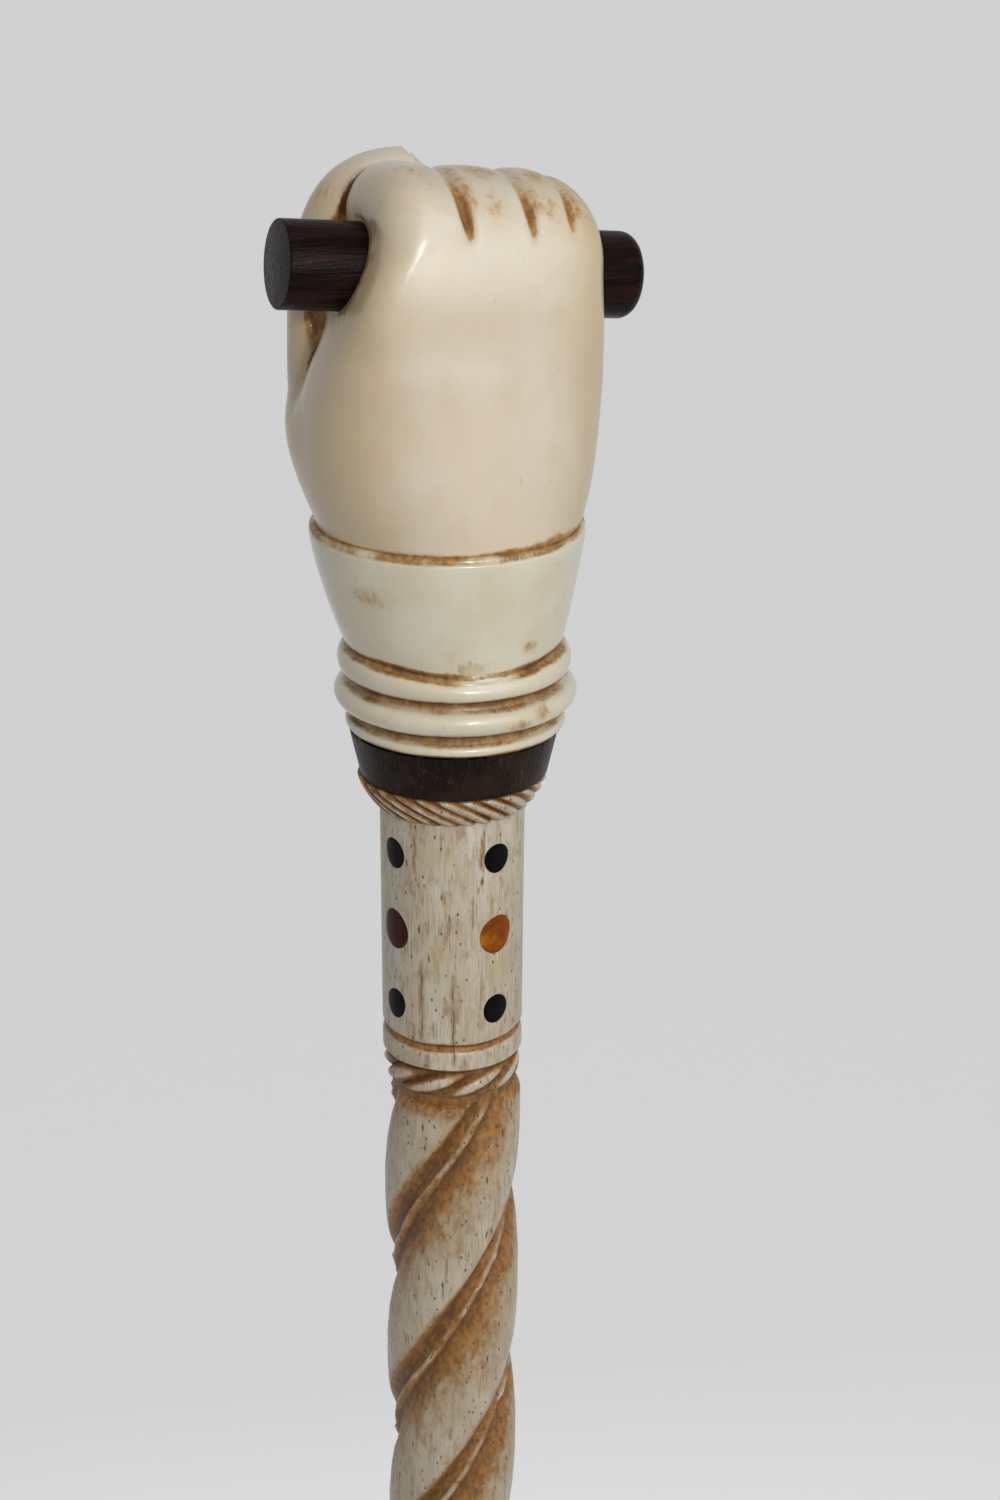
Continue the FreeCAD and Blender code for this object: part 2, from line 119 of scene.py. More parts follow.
class Finish(Workbench):
    """A surface finish: a Principled shader with what feeds it. Patterns are sized in millimetres."""

    def __init__(self, name, **constants):
        self.material = bpy.data.materials.new(name)
        super().__init__(self.material)
        self.shader = self.nodes["Principled BSDF"]
        for socket, value in constants.items():
            self.shader.inputs[socket.replace("_", " ")].default_value = value
        self.object_place = self.add("ShaderNodeTexCoord", output="Object")

    def place(self, stretch=1, turn=(0, 0, 0)):
        """Where a point is, in millimetres, shrunk by the stretch: one along Z, or one for each axis."""
        each = stretch if isinstance(stretch, tuple) else (1, 1, stretch)
        scale = tuple(1 / MM / part for part in each)
        sockets = {"Vector": self.object_place, "Scale": scale, "Rotation": turn}
        return self.add("ShaderNodeMapping", None, sockets)

    def along(self, axis):
        """How far along X, Y or Z a point is, in millimetres."""
        return self.add("ShaderNodeSeparateXYZ", None, {"Vector": self.place()}, output=axis)

    def clouds(self, size, detail=2.0, stretch=1, rough=0.5, turn=(0, 0, 0)):
        """Soft noise from 0 to 1 whose blotches are about that size."""
        sockets = {"Vector": self.place(stretch, turn), "Scale": 1 / size}
        sockets.update(Detail=detail, Roughness=rough)
        return self.add("ShaderNodeTexNoise", None, sockets)

    def specks(self, size, stretch=1, share=0.2, radius=0.3, turn=(0, 0, 0)):
        """A mask of small scattered specks: a share of the cells has one."""
        sockets = {"Vector": self.place(stretch, turn), "Scale": 1 / size}
        near = self.add("ShaderNodeTexVoronoi", None, sockets)
        cell = self.add("ShaderNodeTexVoronoi", None, sockets, output="Color")
        chosen = cell.above(1 - share - 0.02, 1 - share + 0.02)
        return (1 - near.above(radius * 0.4, radius)) * chosen

    def lines(self, size, stretch, width, turn=(0, 0, 0)):
        """A mask of thin wandering lines, where soft noise passes through its middle."""
        return 1 - abs(self.clouds(size, 1, stretch, turn=turn) - 0.5).above(width * 0.3, width)

    def mix(self, factor, first, second):
        sockets = {0: factor, 6: first, 7: second}
        return self.add("ShaderNodeMix", {"data_type": "RGBA"}, sockets, output=2)

    def attribute(self, name):
        return self.add("ShaderNodeAttribute", {"attribute_name": name}, output="Fac")

    def feed(self, socket, wire):
        self.links.new(wire.socket, self.shader.inputs[socket])

    def bump(self, height, depth):
        """Raises the surface by the height, from 0 to 1, times a depth in millimetres."""
        sockets = {"Height": height, "Strength": 1.0, "Distance": depth * MM}
        self.feed("Normal", self.add("ShaderNodeBump", None, sockets))


def dress(node, finish):
    """Gives a CAD node its finish."""
    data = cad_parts[node].data
    data.materials.clear()
    data.materials.append(finish.material)


def iron_finish():
    iron = Finish("forged_iron", Metallic=1.0)
    rust = iron.clouds(2.2, 4).above(0.5, 0.72)
    pits = iron.specks(0.8, share=0.4)
    colour = iron.mix(rust, (0.13, 0.125, 0.12), (0.14, 0.065, 0.03))
    iron.feed("Base Color", iron.mix(pits * 0.7, colour, (0.03, 0.025, 0.02)))
    iron.feed("Roughness", iron.clouds(1.1, 3) * 0.35 + rust * 0.25 + 0.28)
    iron.bump(iron.clouds(0.7, 4) - pits * 0.5, 0.08)
    return iron


forged_iron = iron_finish()
dress("tip", forged_iron)


# The ferrule is a length of drawn brass tube pushed over the shaft's foot and held by two brass nails.
# It is dulled brown, rubbed bright in places and scratched round by use.


def brass_finish():
    brass = Finish("worn_brass", Metallic=1.0)
    patina = brass.clouds(5, 4, 1.6).above(0.38, 0.66)
    scratches = brass.lines(1.4, 0.1, 0.05)
    colour = brass.mix(patina, (0.62, 0.43, 0.17), (0.27, 0.17, 0.075))
    brass.feed("Base Color", brass.mix(scratches * 0.6, colour, (0.72, 0.54, 0.26)))
    brass.feed("Roughness", brass.clouds(1.5, 3) * 0.2 + patina * 0.2 + 0.2)
    brass.bump(brass.clouds(3, 3) - scratches * 0.25, 0.06)
    return brass


worn_brass = brass_finish()
for brass_node in ["ferrule", "ferrule_nail_right", "ferrule_nail_left"]:
    dress(brass_node, worn_brass)


# The shaft is one tapering length of whale bone, turned, then carved with three twisted strands
# between two bands of rope. Its tenon stands up through the rings above, and dirt fills its cuts.


def heights(node):
    """A CAD node's lowest and highest point, in millimetres."""
    low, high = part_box(node)
    return low.z / MM, high.z / MM


ferrule_mouth = heights("ferrule")[1]
shaft_foot, tenon_top = heights("shaft")
shaft_top = heights("rope_collar")[0]
shaft_foot_radius = 7.1
shaft_top_radius = 9.6
spigot_radius = 6.65
tenon_radius = 6.0
dotted_length = 31.5
ring_groove_height = 1.2
ring_groove_depth = 0.6
flat_band_height = 3.4
band_edge_depth = 0.75
rope_band_height = 4.0
rope_strands = 9
rope_turn = 50.0
rope_depth = 1.3
rope_relief = 1.15
neck_height = 1.2
neck_depth = 1.25
twist_length = 263.0
twist_lead = 81.0
twist_starts = 3
twist_phase = -7.0
close_rows_length = 120
shoulder_height = 1.5
shoulder_depth = 0.55
ridge_share = 0.195
ridge_width = 0.045
ridge_wear = 0.3

upper_groove_z = shaft_top - dotted_length - ring_groove_height / 2
upper_rope_top = upper_groove_z - ring_groove_height / 2 - flat_band_height
upper_rope_foot = upper_rope_top - rope_band_height
twist_top = upper_rope_foot - neck_height
twist_foot = twist_top - twist_length
lower_rope_top = twist_foot - neck_height
lower_rope_foot = lower_rope_top - rope_band_height
lower_groove_z = lower_rope_foot - flat_band_height - ring_groove_height / 2
twist_middle = twist_top - twist_length / 2

# Across one start: the share of its turn, how deep the cut is in millimetres, and how dark the dirt
cut_share, cut_depth, cut_stain = (
    [0, 0.018, 0.055, 0.1, 0.145, 0.175, 0.195, 0.215, 0.25, 0.31, 0.37, 0.43, 0.52, 0.66, 0.84, 0.95, 1],
    [0.42, 0.8, 1.55, 1.9, 1.6, 0.95, 0.78, 0.98, 1.8, 1.8, 1.3, 0.8, 0.38, 0.06, 0.04, 0.18, 0.42],
    [0.34, 0.68, 0.95, 0.95, 0.74, 0.12, 0, 0.25, 1.04, 0.88, 0.66, 0.46, 0.3, 0.17, 0.07, 0.06, 0.34],
)
columns_per_start = 80
fine_columns = 52
fine_share = 0.5


def ease(value, low, high):
    """0 up to low, 1 from high on, smooth between."""
    share = np.clip((value - low) / (high - low), 0, 1)
    return share * share * (3 - 2 * share)


def bell(value, half_width):
    """1 at 0, falling smoothly to 0 at the half width."""
    return 1 - ease(np.abs(value), 0, half_width)


def waver(turn, along, seed):
    """A slow, uneven wander from about -1 to 1, as a hand tool leaves. turn is in radians."""
    first = np.sin(2 * turn + 0.23 * along + seed)
    second = np.sin(5 * turn - 0.41 * along + 2.7 * seed)
    third = np.sin(9 * turn + 0.83 * along + 5.1 * seed)
    return 0.5 * first + 0.3 * second + 0.2 * third


def spread(low, high, spacing):
    return np.linspace(low, high, max(2, math.ceil((high - low) / spacing) + 1))


shaft_levels = np.concatenate(
    [
        [shaft_foot, shaft_foot, ferrule_mouth, ferrule_mouth],
        spread(ferrule_mouth + 1, lower_groove_z - 2, 12),
        spread(lower_groove_z - 1, lower_rope_foot - 0.2, 0.2),
        spread(lower_rope_foot, twist_foot, 0.3),
        spread(twist_foot + 0.5, twist_top - close_rows_length, 1.8),
        spread(twist_top - close_rows_length + 1, twist_top - 2, 1.0),
        spread(twist_top - 1.5, twist_top, 0.3),
        spread(twist_top + 0.15, upper_rope_top, 0.18),
        spread(upper_rope_top + 0.2, upper_groove_z - 0.9, 0.5),
        spread(upper_groove_z - 0.75, upper_groove_z + 0.75, 0.15),
        spread(upper_groove_z + 1, shaft_top, 1.4),
        [shaft_top, tenon_top, tenon_top],
    ]
)


def shaft_radius(z):
    share = (z - ferrule_mouth) / (shaft_top - ferrule_mouth)
    return shaft_foot_radius + share * (shaft_top_radius - shaft_foot_radius)


def twist_turn(z):
    """How far the strands have turned at a height, in degrees."""
    held = np.clip(z, twist_foot, twist_top)
    return twist_phase + 360 * (held - twist_top) / twist_lead


def rope_share(z):
    """How far up its rope band a height is, from 0 to 1, for whichever band is nearer."""
    lower = (z - lower_rope_foot) / rope_band_height
    upper = (z - upper_rope_foot) / rope_band_height
    return np.where(z < twist_middle, lower, upper)


def shaft_surface(column, row):
    """The angle in degrees, radius, height and stain of the carved shaft."""
    z = shaft_levels[row]
    start, step = np.divmod(column, columns_per_start)
    fine = step * fine_share / fine_columns
    coarse = fine_share + (step - fine_columns) * (1 - fine_share) / (columns_per_start - fine_columns)
    share = np.where(step < fine_columns, fine, coarse)
    up_rope = rope_share(z)
    rise = np.clip(up_rope, 0, 1) - (z < twist_middle)
    angle = (start + share) * 360 / twist_starts + twist_turn(z) + rise * rope_turn
    turn = np.radians(angle)

    twisted = (z >= twist_foot) & (z <= twist_top)
    shifted = share + 0.010 * waver(0, z, 1 + 2 * start)
    uneven = 1 + 0.12 * waver(3 * share, 0.5 * z, 4 + start)
    cut = np.interp(shifted, cut_share, cut_depth, period=1) * uneven
    chips = waver(0, 1.7 * z, 8 + start) + 0.9 * waver(0, 7.3 * z, 3 + start)
    ridge_worn = bell(share - ridge_share, ridge_width) * ridge_wear * np.maximum(1 + chips, 0)
    shoulder = 1 - ease(twist_top - z, 0, shoulder_height)
    depth = twisted * ((cut + ridge_worn) * (1 - 0.4 * shoulder) + shoulder_depth * shoulder)
    darkening = np.interp(shifted, cut_share, cut_stain, period=1) + ridge_worn
    stain_and_shade = twisted * np.maximum(darkening, 0.5 * (1 - ease(twist_top - z, 0.6, 3.0)))

    for neck_z in [lower_rope_top + neck_height / 2, upper_rope_foot - neck_height / 2]:
        near_neck = 1 - ease(np.abs(z - neck_z), neck_height * 0.5, neck_height * 0.95)
        depth = np.maximum(depth, neck_depth * near_neck)
        stain_and_shade = np.maximum(stain_and_shade, 0.85 * near_neck)

    on_rope = (up_rope >= 0) & (up_rope <= 1)
    strand = (angle - rise * rope_turn) / 360 * rope_strands
    strand = (strand + 0.06 * waver(turn, 0, 3)) % 1
    crown = np.sin(np.pi * strand**0.85) ** 0.85 * np.sin(np.pi * np.clip(up_rope, 0, 1)) ** 0.4
    depth = np.maximum(depth, on_rope * (rope_depth - rope_relief * crown))
    stain_and_shade = np.maximum(stain_and_shade, on_rope * (0.95 - 0.95 * ease(crown, 0.5, 0.9)))

    for groove_z in [lower_groove_z, upper_groove_z]:
        off = z - groove_z + 0.2 - 0.16 * waver(turn, 0, 6)
        near = bell(off, ring_groove_height * (0.72 + 0.1 * waver(turn, 0, 4)))
        depth = np.maximum(depth, ring_groove_depth * near**0.7)
        stain_and_shade = np.maximum(stain_and_shade, ease(near, 0.05, 0.6) * (0.62 + 0.38 * ease(off, 0, 0.35)))
    for edge_z in [upper_rope_top, lower_rope_foot]:
        line = bell(z - edge_z - 0.12 * waver(turn, 0, 9), 0.5)
        depth = np.maximum(depth, band_edge_depth * line)
        stain_and_shade = np.maximum(stain_and_shade, 0.9 * line)

    radius = shaft_radius(z) - depth - 0.02 * (1 + waver(turn, 0.3 * z, 2))
    radius = np.where(row <= 2, spigot_radius, radius)
    radius = np.where(row >= len(shaft_levels) - 2, tenon_radius, radius)
    radius = np.where((row == 0) | (row == len(shaft_levels) - 1), 0, radius)
    return angle, radius, z, stain_and_shade


def move(bm, places, stain_and_shade):
    """Moves every point to its place, in millimetres, and notes how much dirt and painted shade it has
    there.
    """
    darkening = bm.verts.layers.float.new("stain_and_shade")
    for vertex, place, amount in zip(bm.verts, (places * MM).tolist(), stain_and_shade.tolist()):
        vertex.co = place
        vertex[darkening] = amount


def spun(columns, rows, surface, ring=False):
    """A closed mesh spun round the stick's axis, then carved: surface says where each point goes.

    The rows of a ring run round its section. A solid piece has a pole at each end."""
    bm = bmesh.new()
    if ring:
        upright = Matrix.Translation((2, 0, 0)) @ Matrix.Rotation(math.pi / 2, 4, "X")
        bmesh.ops.create_circle(bm, segments=rows, radius=1, matrix=upright)
    else:
        bm.edges.new([bm.verts.new((1, 0, 0)), bm.verts.new((1, 0, 1))])
        bmesh.ops.subdivide_edges(bm, edges=bm.edges, cuts=rows - 2)
    full_turn = {"axis": (0, 0, 1), "cent": (0, 0, 0), "angle": math.tau, "use_merge": True}
    bmesh.ops.spin(bm, geom=bm.verts[:] + bm.edges[:], steps=columns, **full_turn)
    at = np.array([v.co for v in bm.verts])
    column = np.rint(np.arctan2(at[:, 1], at[:, 0]) / math.tau * columns).astype(int) % columns
    if ring:
        round_section = np.arctan2(at[:, 2], np.hypot(at[:, 0], at[:, 1]) - 2)
        row = np.rint(round_section / math.tau * rows).astype(int) % rows
    else:
        row = np.rint(at[:, 2] * (rows - 1)).astype(int)
    angle, radius, z, stain_and_shade = surface(column, row)
    turn = np.radians(angle)
    move(bm, np.stack([radius * np.sin(turn), -radius * np.cos(turn), z], axis=1), stain_and_shade)
    bmesh.ops.remove_doubles(bm, verts=bm.verts, dist=0.001 * MM)
    bmesh.ops.recalc_face_normals(bm, faces=bm.faces)
    return bm


def added(name, data):
    """A new object with that data, in the scene."""
    thing = bpy.data.objects.new(name, data)
    bpy.context.scene.collection.objects.link(thing)
    return thing


def meshed(name, bm):
    mesh = bpy.data.meshes.new(name)
    bm.to_mesh(mesh)
    bm.free()
    return mesh


sharp_angle = 40


def set_down(name, bm, finish, node):
    """Makes the finished mesh a piece that rides on the stick and stands for that CAD node."""
    mesh = meshed(name, bm)
    mesh.polygons.foreach_set("use_smooth", [True] * len(mesh.polygons))
    mesh.set_sharp_from_angle(angle=math.radians(sharp_angle))
    mesh.materials.append(finish.material)
    piece = added(name, mesh)
    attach(piece, "root")
    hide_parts(node)
    return piece


def upright_rod(radius, length, segments):
    bm = bmesh.new()
    size = {"radius1": radius * MM, "radius2": radius * MM, "depth": length * MM}
    bmesh.ops.create_cone(bm, cap_ends=True, segments=segments, **size)
    return bm


def laid(bm, along, middle, lift=0.0):
    """Lifts an upright mesh, then leans it along a line through the middle."""
    lean = Vector(along).to_track_quat("Z", "Y").to_matrix().to_4x4()
    place = Matrix.Translation(Vector(middle) * MM) @ lean @ Matrix.Translation((0, 0, lift * MM))
    bmesh.ops.transform(bm, matrix=place, verts=bm.verts)
    return bm


def rod_mesh(radius, foot, top, along=(0, 0, 1), middle=(0, 0, 0), segments=96):
    """A plain rod in millimetres, from foot to top along a line through the middle."""
    return laid(upright_rod(radius, top - foot, segments), along, middle, (foot + top) / 2)


def bored(piece, *tools):
    """Cuts the tools, which don't touch each other, out of the piece for good."""
    together = bpy.data.meshes.new("tools")
    joined = bmesh.new()
    for tool in tools:
        tool.to_mesh(together)
        tool.free()
        joined.from_mesh(together)
    joined.to_mesh(together)
    joined.free()
    cutter = added("tools", together)
    cut = piece.modifiers.new("bore", "BOOLEAN")
    cut.operation = "DIFFERENCE"
    cut.solver = "EXACT"
    cut.object = cutter
    evaluated = piece.evaluated_get(bpy.context.evaluated_depsgraph_get())
    kept = bpy.data.meshes.new_from_object(evaluated)
    piece.modifiers.clear()
    piece.data = kept
    bpy.data.objects.remove(cutter)


def cloudy(weight, depth, colours=(1.0, 0.2, 0.1)):
    """Shader values for light that spreads inside: how much, how far in millimetres and in each colour."""
    return {"Subsurface_Weight": weight, "Subsurface_Scale": depth * MM, "Subsurface_Radius": colours}


def outward(degrees):
    """The level direction at that angle about the stick, where 0 faces -Y and 90 faces +X."""
    turn = math.radians(degrees)
    return Vector((math.sin(turn), -math.cos(turn), 0))


def stained_and_shaded(finish, clean, tint, ochre, dark):
    """The clean colour under dirt and painted shade, which one attribute holds: tinted round them, ochre
    where a little has settled, dark in the cuts and the deepest shade.
    """
    stain_and_shade = finish.attribute("stain_and_shade")
    blotches = finish.clouds(2.8, 3, 1.6) * 0.5 + finish.clouds(0.75, 4, 2.6, 0.6) * 0.65
    broken = stain_and_shade + blotches + finish.clouds(0.25, 2, 2) * 0.2 - 0.675
    tinted = finish.mix(stain_and_shade.above(0, 0.3) * 0.65, clean, tint)
    thick = finish.clouds(0.8, 4, 1.7, 0.65).above(0.36, 0.66)
    mottled = finish.mix(thick, tuple(1.2 * part for part in ochre), tuple(0.6 * part for part in ochre))
    settled = finish.mix(broken.above(0.1, 0.54), tinted, mottled)
    return finish.mix(broken.above(0.58, 1.2), settled, dark)


# Hairline cracks: the angle about the shaft, how far under its top they start, and how long they run
cracks = [(-46, 18.8, 13), (-20, 20.6, 15), (3, 1, 6), (-52, 1, 7), (28, 13, 6)]


def crack(finish, degrees, foot, top, width):
    """The mask of a wandering hairline crack that runs up the shaft at that angle about it."""
    turn = math.radians(degrees)
    x, y, z = [finish.along(axis) for axis in "XYZ"]
    wander = finish.clouds(3, 3, (30, 30, 1)) * 1.1 - 0.55
    off = abs(x * math.cos(turn) + y * math.sin(turn) + wander)
    facing = (x * math.sin(turn) - y * math.cos(turn)).above(0, 1)
    span = z.above(foot, foot + 1.5) * (1 - z.above(top - 1.5, top))
    return (1 - off.above(width * 0.4, width)) * facing * span


def bone_finish():
    bone = Finish("whale_bone", Specular_IOR_Level=0.4, **cloudy(0.12, 0.6))
    tone = bone.clouds(4, 3, 3).above(0.3, 0.7)
    clean = bone.mix(tone, (0.66, 0.60, 0.49), (0.55, 0.46, 0.335))
    streaks = bone.clouds(0.28, 4, 12, turn=(0.05, 0.03, 0)).above(0.42, 0.66)
    patchy = bone.clouds(2.5, 3, 1.8).above(0.35, 0.7)
    fissured = bone.clouds(2.6, 2, 1.5).above(0.46, 0.6)
    fissures = bone.lines(0.9, 16, 0.03, (0.04, 0.02, 0)) * fissured
    smears = bone.clouds(1.5, 5, 2.6, 0.65, (0.15, 0, 0)).above(0.51, 0.70)
    yellow = bone.clouds(5, 2).above(0.55, 0.75)
    stains, splits = 0, 0
    for degrees, from_top, length in cracks:
        span = (degrees, shaft_top - from_top - length, shaft_top - from_top)
        stains = crack(bone, *span, 0.5) + stains
        splits = crack(bone, *span, 0.1) + splits
    for mask, tint in [
        (streaks * (patchy * 0.45 + 0.15), (0.34, 0.245, 0.145)),
        (fissures * 0.6, (0.27, 0.155, 0.07)),
        (smears * 0.68, (0.31, 0.185, 0.075)),
        (yellow * 0.5, (0.53, 0.43, 0.23)),
        (stains * 0.55, (0.36, 0.22, 0.09)),
    ]:
        clean = bone.mix(mask, clean, tint)
    colour = stained_and_shaded(bone, clean, (0.47, 0.36, 0.215), (0.345, 0.16, 0.04), (0.115, 0.044, 0.011))
    pores = bone.specks(0.75, 1.9, 0.4, 0.26)
    dashes = bone.specks(1.15, 3.6, 0.42, 0.2, (0.03, 0.05, 0))
    marks = pores.larger(dashes).larger(splits * bone.clouds(1.2, 2, 2).above(0.36, 0.5))
    shown = marks * bone.clouds(0.8, 2).above(0.25, 0.5) * 0.85
    bone.feed("Base Color", bone.mix(shown, colour, (0.085, 0.045, 0.02)))
    bone.feed("Roughness", bone.clouds(1.6, 3, 4) * 0.2 + bone.attribute("stain_and_shade") * 0.2 + 0.24)
    bone.bump(bone.clouds(0.5, 3, 6) * 0.5 + bone.clouds(0.35, 2) * 0.25 - marks, 0.07)
    return bone


whale_bone = bone_finish()
shaft_mesh = spun(columns_per_start * twist_starts, len(shaft_levels), shaft_surface)
shaft = set_down("carved_shaft", shaft_mesh, whale_bone, "shaft")


# The inlays are twelve plugs of horn and amber in four columns, pressed into drilled sockets in the
# shaft, filed flush and polished. They were cut by hand, so none is quite round.

dot_from_top = 5.3
dot_spacing = 10.9
first_column = 16.7
plug_depth = 3.0
# Each column's plugs from top to bottom: how much taller than wide, its lean in degrees, and its tone
plug_forms = {
    "black_dot_upper": (2.0, [(1.05, 25, 0.1), (1.1, -20, 0.3), (1.0, 0, 0.2), (1.08, 10, 0.5)]),
    "amber_dot": (2.6, [(1.13, -28, 0.12), (1.08, 30, 0.45), (1.15, -10, 0.7), (1.1, 8, 0.95)]),
    "black_dot_lower": (2.0, [(1.04, -35, 0.2), (1.12, 15, 0.1), (1.06, 40, 0.4), (1.1, -5, 0.3)]),
}


def plug(radius, tall, lean, degrees, z, seed, gap=0.0, proud=0.1):
    """A plug that is sunk into the shaft. With a gap and more standing proud it is its socket's cutter."""
    bm = bmesh.new()
    bmesh.ops.create_uvsphere(bm, u_segments=56, v_segments=24, radius=1)
    out, up = outward(degrees), Vector((0, 0, 1))
    along = up.cross(out)
    stretch = math.sqrt(tall)
    for vertex in bm.verts:
        x, y, height = vertex.co
        turn = math.atan2(y, x)
        flank = math.hypot(x, y) if height >= 0 else min(1, 1.7 * math.hypot(x, y))
        uneven = 1 + 0.02 * math.sin(2 * turn + seed) + 0.016 * math.sin(3 * turn + 2 * seed)
        reach = flank * (radius * uneven + gap)
        wide, high = reach * math.cos(turn) / stretch, reach * math.sin(turn) * stretch
        tilt = math.radians(lean)
        a = wide * math.cos(tilt) - high * math.sin(tilt)
        b = wide * math.sin(tilt) + high * math.cos(tilt)
        skin = math.sqrt(max(shaft_radius(z + b) ** 2 - a * a, 1))
        depth = -proud * height if height >= 0 else min(1, -1.5 * height) * (plug_depth + gap)
        vertex.co = (out * (skin - depth) + along * a + up * (z + b)) * MM
    bmesh.ops.recalc_face_normals(bm, faces=bm.faces)
    return bm


def toned(bm, amount):
    """Gives every point of the mesh the tone that its finish reads."""
    tone = bm.verts.layers.float.new("tone")
    for vertex in bm.verts:
        vertex[tone] = amount
    return bm


def horn_finish():
    horn = Finish("black_horn", Specular_IOR_Level=0.06)
    haze = horn.clouds(2.5, 4, 3) * horn.attribute("tone")
    horn.feed("Base Color", horn.mix(haze, (0.002, 0.0015, 0.002), (0.022, 0.013, 0.011)))
    horn.feed("Roughness", horn.clouds(0.8, 3) * 0.15 + 0.16)
    horn.bump(horn.clouds(0.9, 2), 0.02)
    return horn


def amber_finish():
    amber = Finish("inlaid_amber", Specular_IOR_Level=0.08, **cloudy(0.15, 0.8))
    depth = amber.attribute("tone") + amber.clouds(2.2, 3, turn=(0.6, 0.4, 0)) * 1.3 - 0.65
    light = amber.mix(depth.above(-0.25, 0.2), (0.44, 0.165, 0.008), (0.24, 0.052, 0.003))
    amber.feed("Base Color", amber.mix(depth.above(0.15, 0.7), light, (0.05, 0.011, 0.006)))
    amber.feed("Roughness", amber.clouds(0.9, 2) * 0.1 + 0.12)
    amber.bump(amber.clouds(1.2, 2), 0.02)
    return amber


def inlay():
    """Sets every plug in its socket. Gives back the sockets' cutters."""
    finishes = {"black": (horn_finish(), "black_inlay"), "amber": (amber_finish(), "amber_inlay")}
    sockets = []
    for row, (kind, (radius, forms)) in enumerate(plug_forms.items()):
        for column, (tall, lean, tone) in enumerate(forms):
            degrees = first_column + 90 * column
            z = shaft_top - dot_from_top - row * dot_spacing
            form = (radius, tall, lean, degrees, z, 1 + row + 3 * column)
            finish, slot = finishes[kind[:5]]
            node = f"{kind}_{column + 1}"
            set_down(f"inlaid_{node}", toned(plug(*form), tone), finish, node)
            sockets.append(plug(*form, gap=0.05, proud=1.0))
    return sockets


# The same cutting also drills the shaft for the centre rod and for the ferrule's two nails
rod_bore = 2.55
nail_bore = 1.05
nail_hole = (2.9, 9)
shaft_cuts = inlay()
shaft_cuts.append(rod_mesh(rod_bore, heights("centre_rod")[0], tenon_top + 2))
nail_z = sum(heights("ferrule_nail_right")) / 2
for nail_turn in [90, 270]:
    shaft_cuts.append(rod_mesh(nail_bore, *nail_hole, outward(nail_turn), (0, 0, nail_z), 32))
bored(shaft, *shaft_cuts)


# The rope collar is a thin bone ring carved all round as laid rope. It sits on the shaft's shoulder
# with the tenon through it, and its strands lean down to the right. Its left side and its top under
# the spacer are darkened with painted shade.

collar_foot, collar_top = heights("rope_collar")
collar_strands = 26
collar_turn = -34.0
collar_foot_radius = 10.0
collar_top_radius = 12.55
collar_bulge = 0.35
collar_depth = 0.75
tenon_socket = 6.05


def collar_surface(column, row):
    share = np.clip(row / (collar_rows - 1), 0, 1)
    angle = column * 360 / collar_columns + share * collar_turn
    turn = np.radians(angle)
    strand = (angle - share * collar_turn) / 360 * collar_strands
    strand = (strand + 0.07 * waver(turn, 0, 5)) % 1
    crown = np.sin(np.pi * strand) ** 0.75
    bow = collar_bulge * np.sin(np.pi * share) ** 0.7
    edge = 0.3 * (1 - ease(share, 0, 0.1)) + 0.2 * ease(share, 0.92, 1)
    depth = collar_depth * (1 - crown) * (0.95 + 0.25 * np.sin(7 * turn + 1))
    radius = collar_foot_radius + share * (collar_top_radius - collar_foot_radius) + bow - depth - edge
    z = collar_foot + share * (collar_top - collar_foot)
    on_side = row < collar_rows
    radius = np.where(on_side, radius, tenon_socket)
    z = np.where(row > collar_rows, collar_foot, z)
    worn = 0.16 * waver(5 * turn, 3 * share, 2) + 0.12 * waver(11 * turn, 5 * share, 7)
    # The left side is darkened with painted shade.
    painted_left_shade = 0.3 * ease(-np.sin(turn), 0.2, 0.8)
    # Darker near the bottom edge with dirt, and near the top edge with dirt and painted shade under the
    # spacer.
    edges = 0.2 * (1 - ease(share, 0, 0.25)) + 0.2 * ease(share, 0.6, 1)
    stain_and_shade = 1.55 - 1.75 * crown + worn + painted_left_shade + edges
    return angle, radius, z, np.clip(np.where(on_side, stain_and_shade, 0), 0, 1)


collar_rows = 22
collar_columns = collar_strands * 12
collar_mesh = spun(collar_columns, collar_rows + 2, collar_surface, ring=True)
set_down("carved_collar", collar_mesh, whale_bone, "rope_collar")


# The spacer is a ring turned from near-black wood, wider at its top, oiled and scratched. It parts
# the collar from the cuff, and the shaft's tenon passes through it.

spacer_foot, spacer_top = heights("spacer_ring")
spacer_foot_radius = 12.3
spacer_top_radius = 13.8
spacer_ease = 0.22


def spacer_surface(column, row):
    cone = (spacer_top_radius - spacer_foot_radius) / (spacer_top - spacer_foot)
    outline = [(spacer_foot_radius - spacer_ease, spacer_foot)]
    for share in np.linspace(0.04, 0.96, spacer_rows - 2):
        z = spacer_foot + share * (spacer_top - spacer_foot)
        outline.append((spacer_foot_radius + (z - spacer_foot) * cone, z))
    outline.append((spacer_top_radius - spacer_ease, spacer_top))
    section = np.array(outline + [(tenon_socket, spacer_top), (tenon_socket, spacer_foot)])
    turn = np.radians(column * 360 / ring_columns)
    radius, z = section[row, 0], section[row, 1]
    worn = 0.05 * waver(turn, z, 3) * (row < spacer_rows)
    shifted = 0.2 * np.sin(turn) * (row < spacer_rows)
    return np.degrees(turn), radius - 0.04 + worn + shifted, z, 0 * z


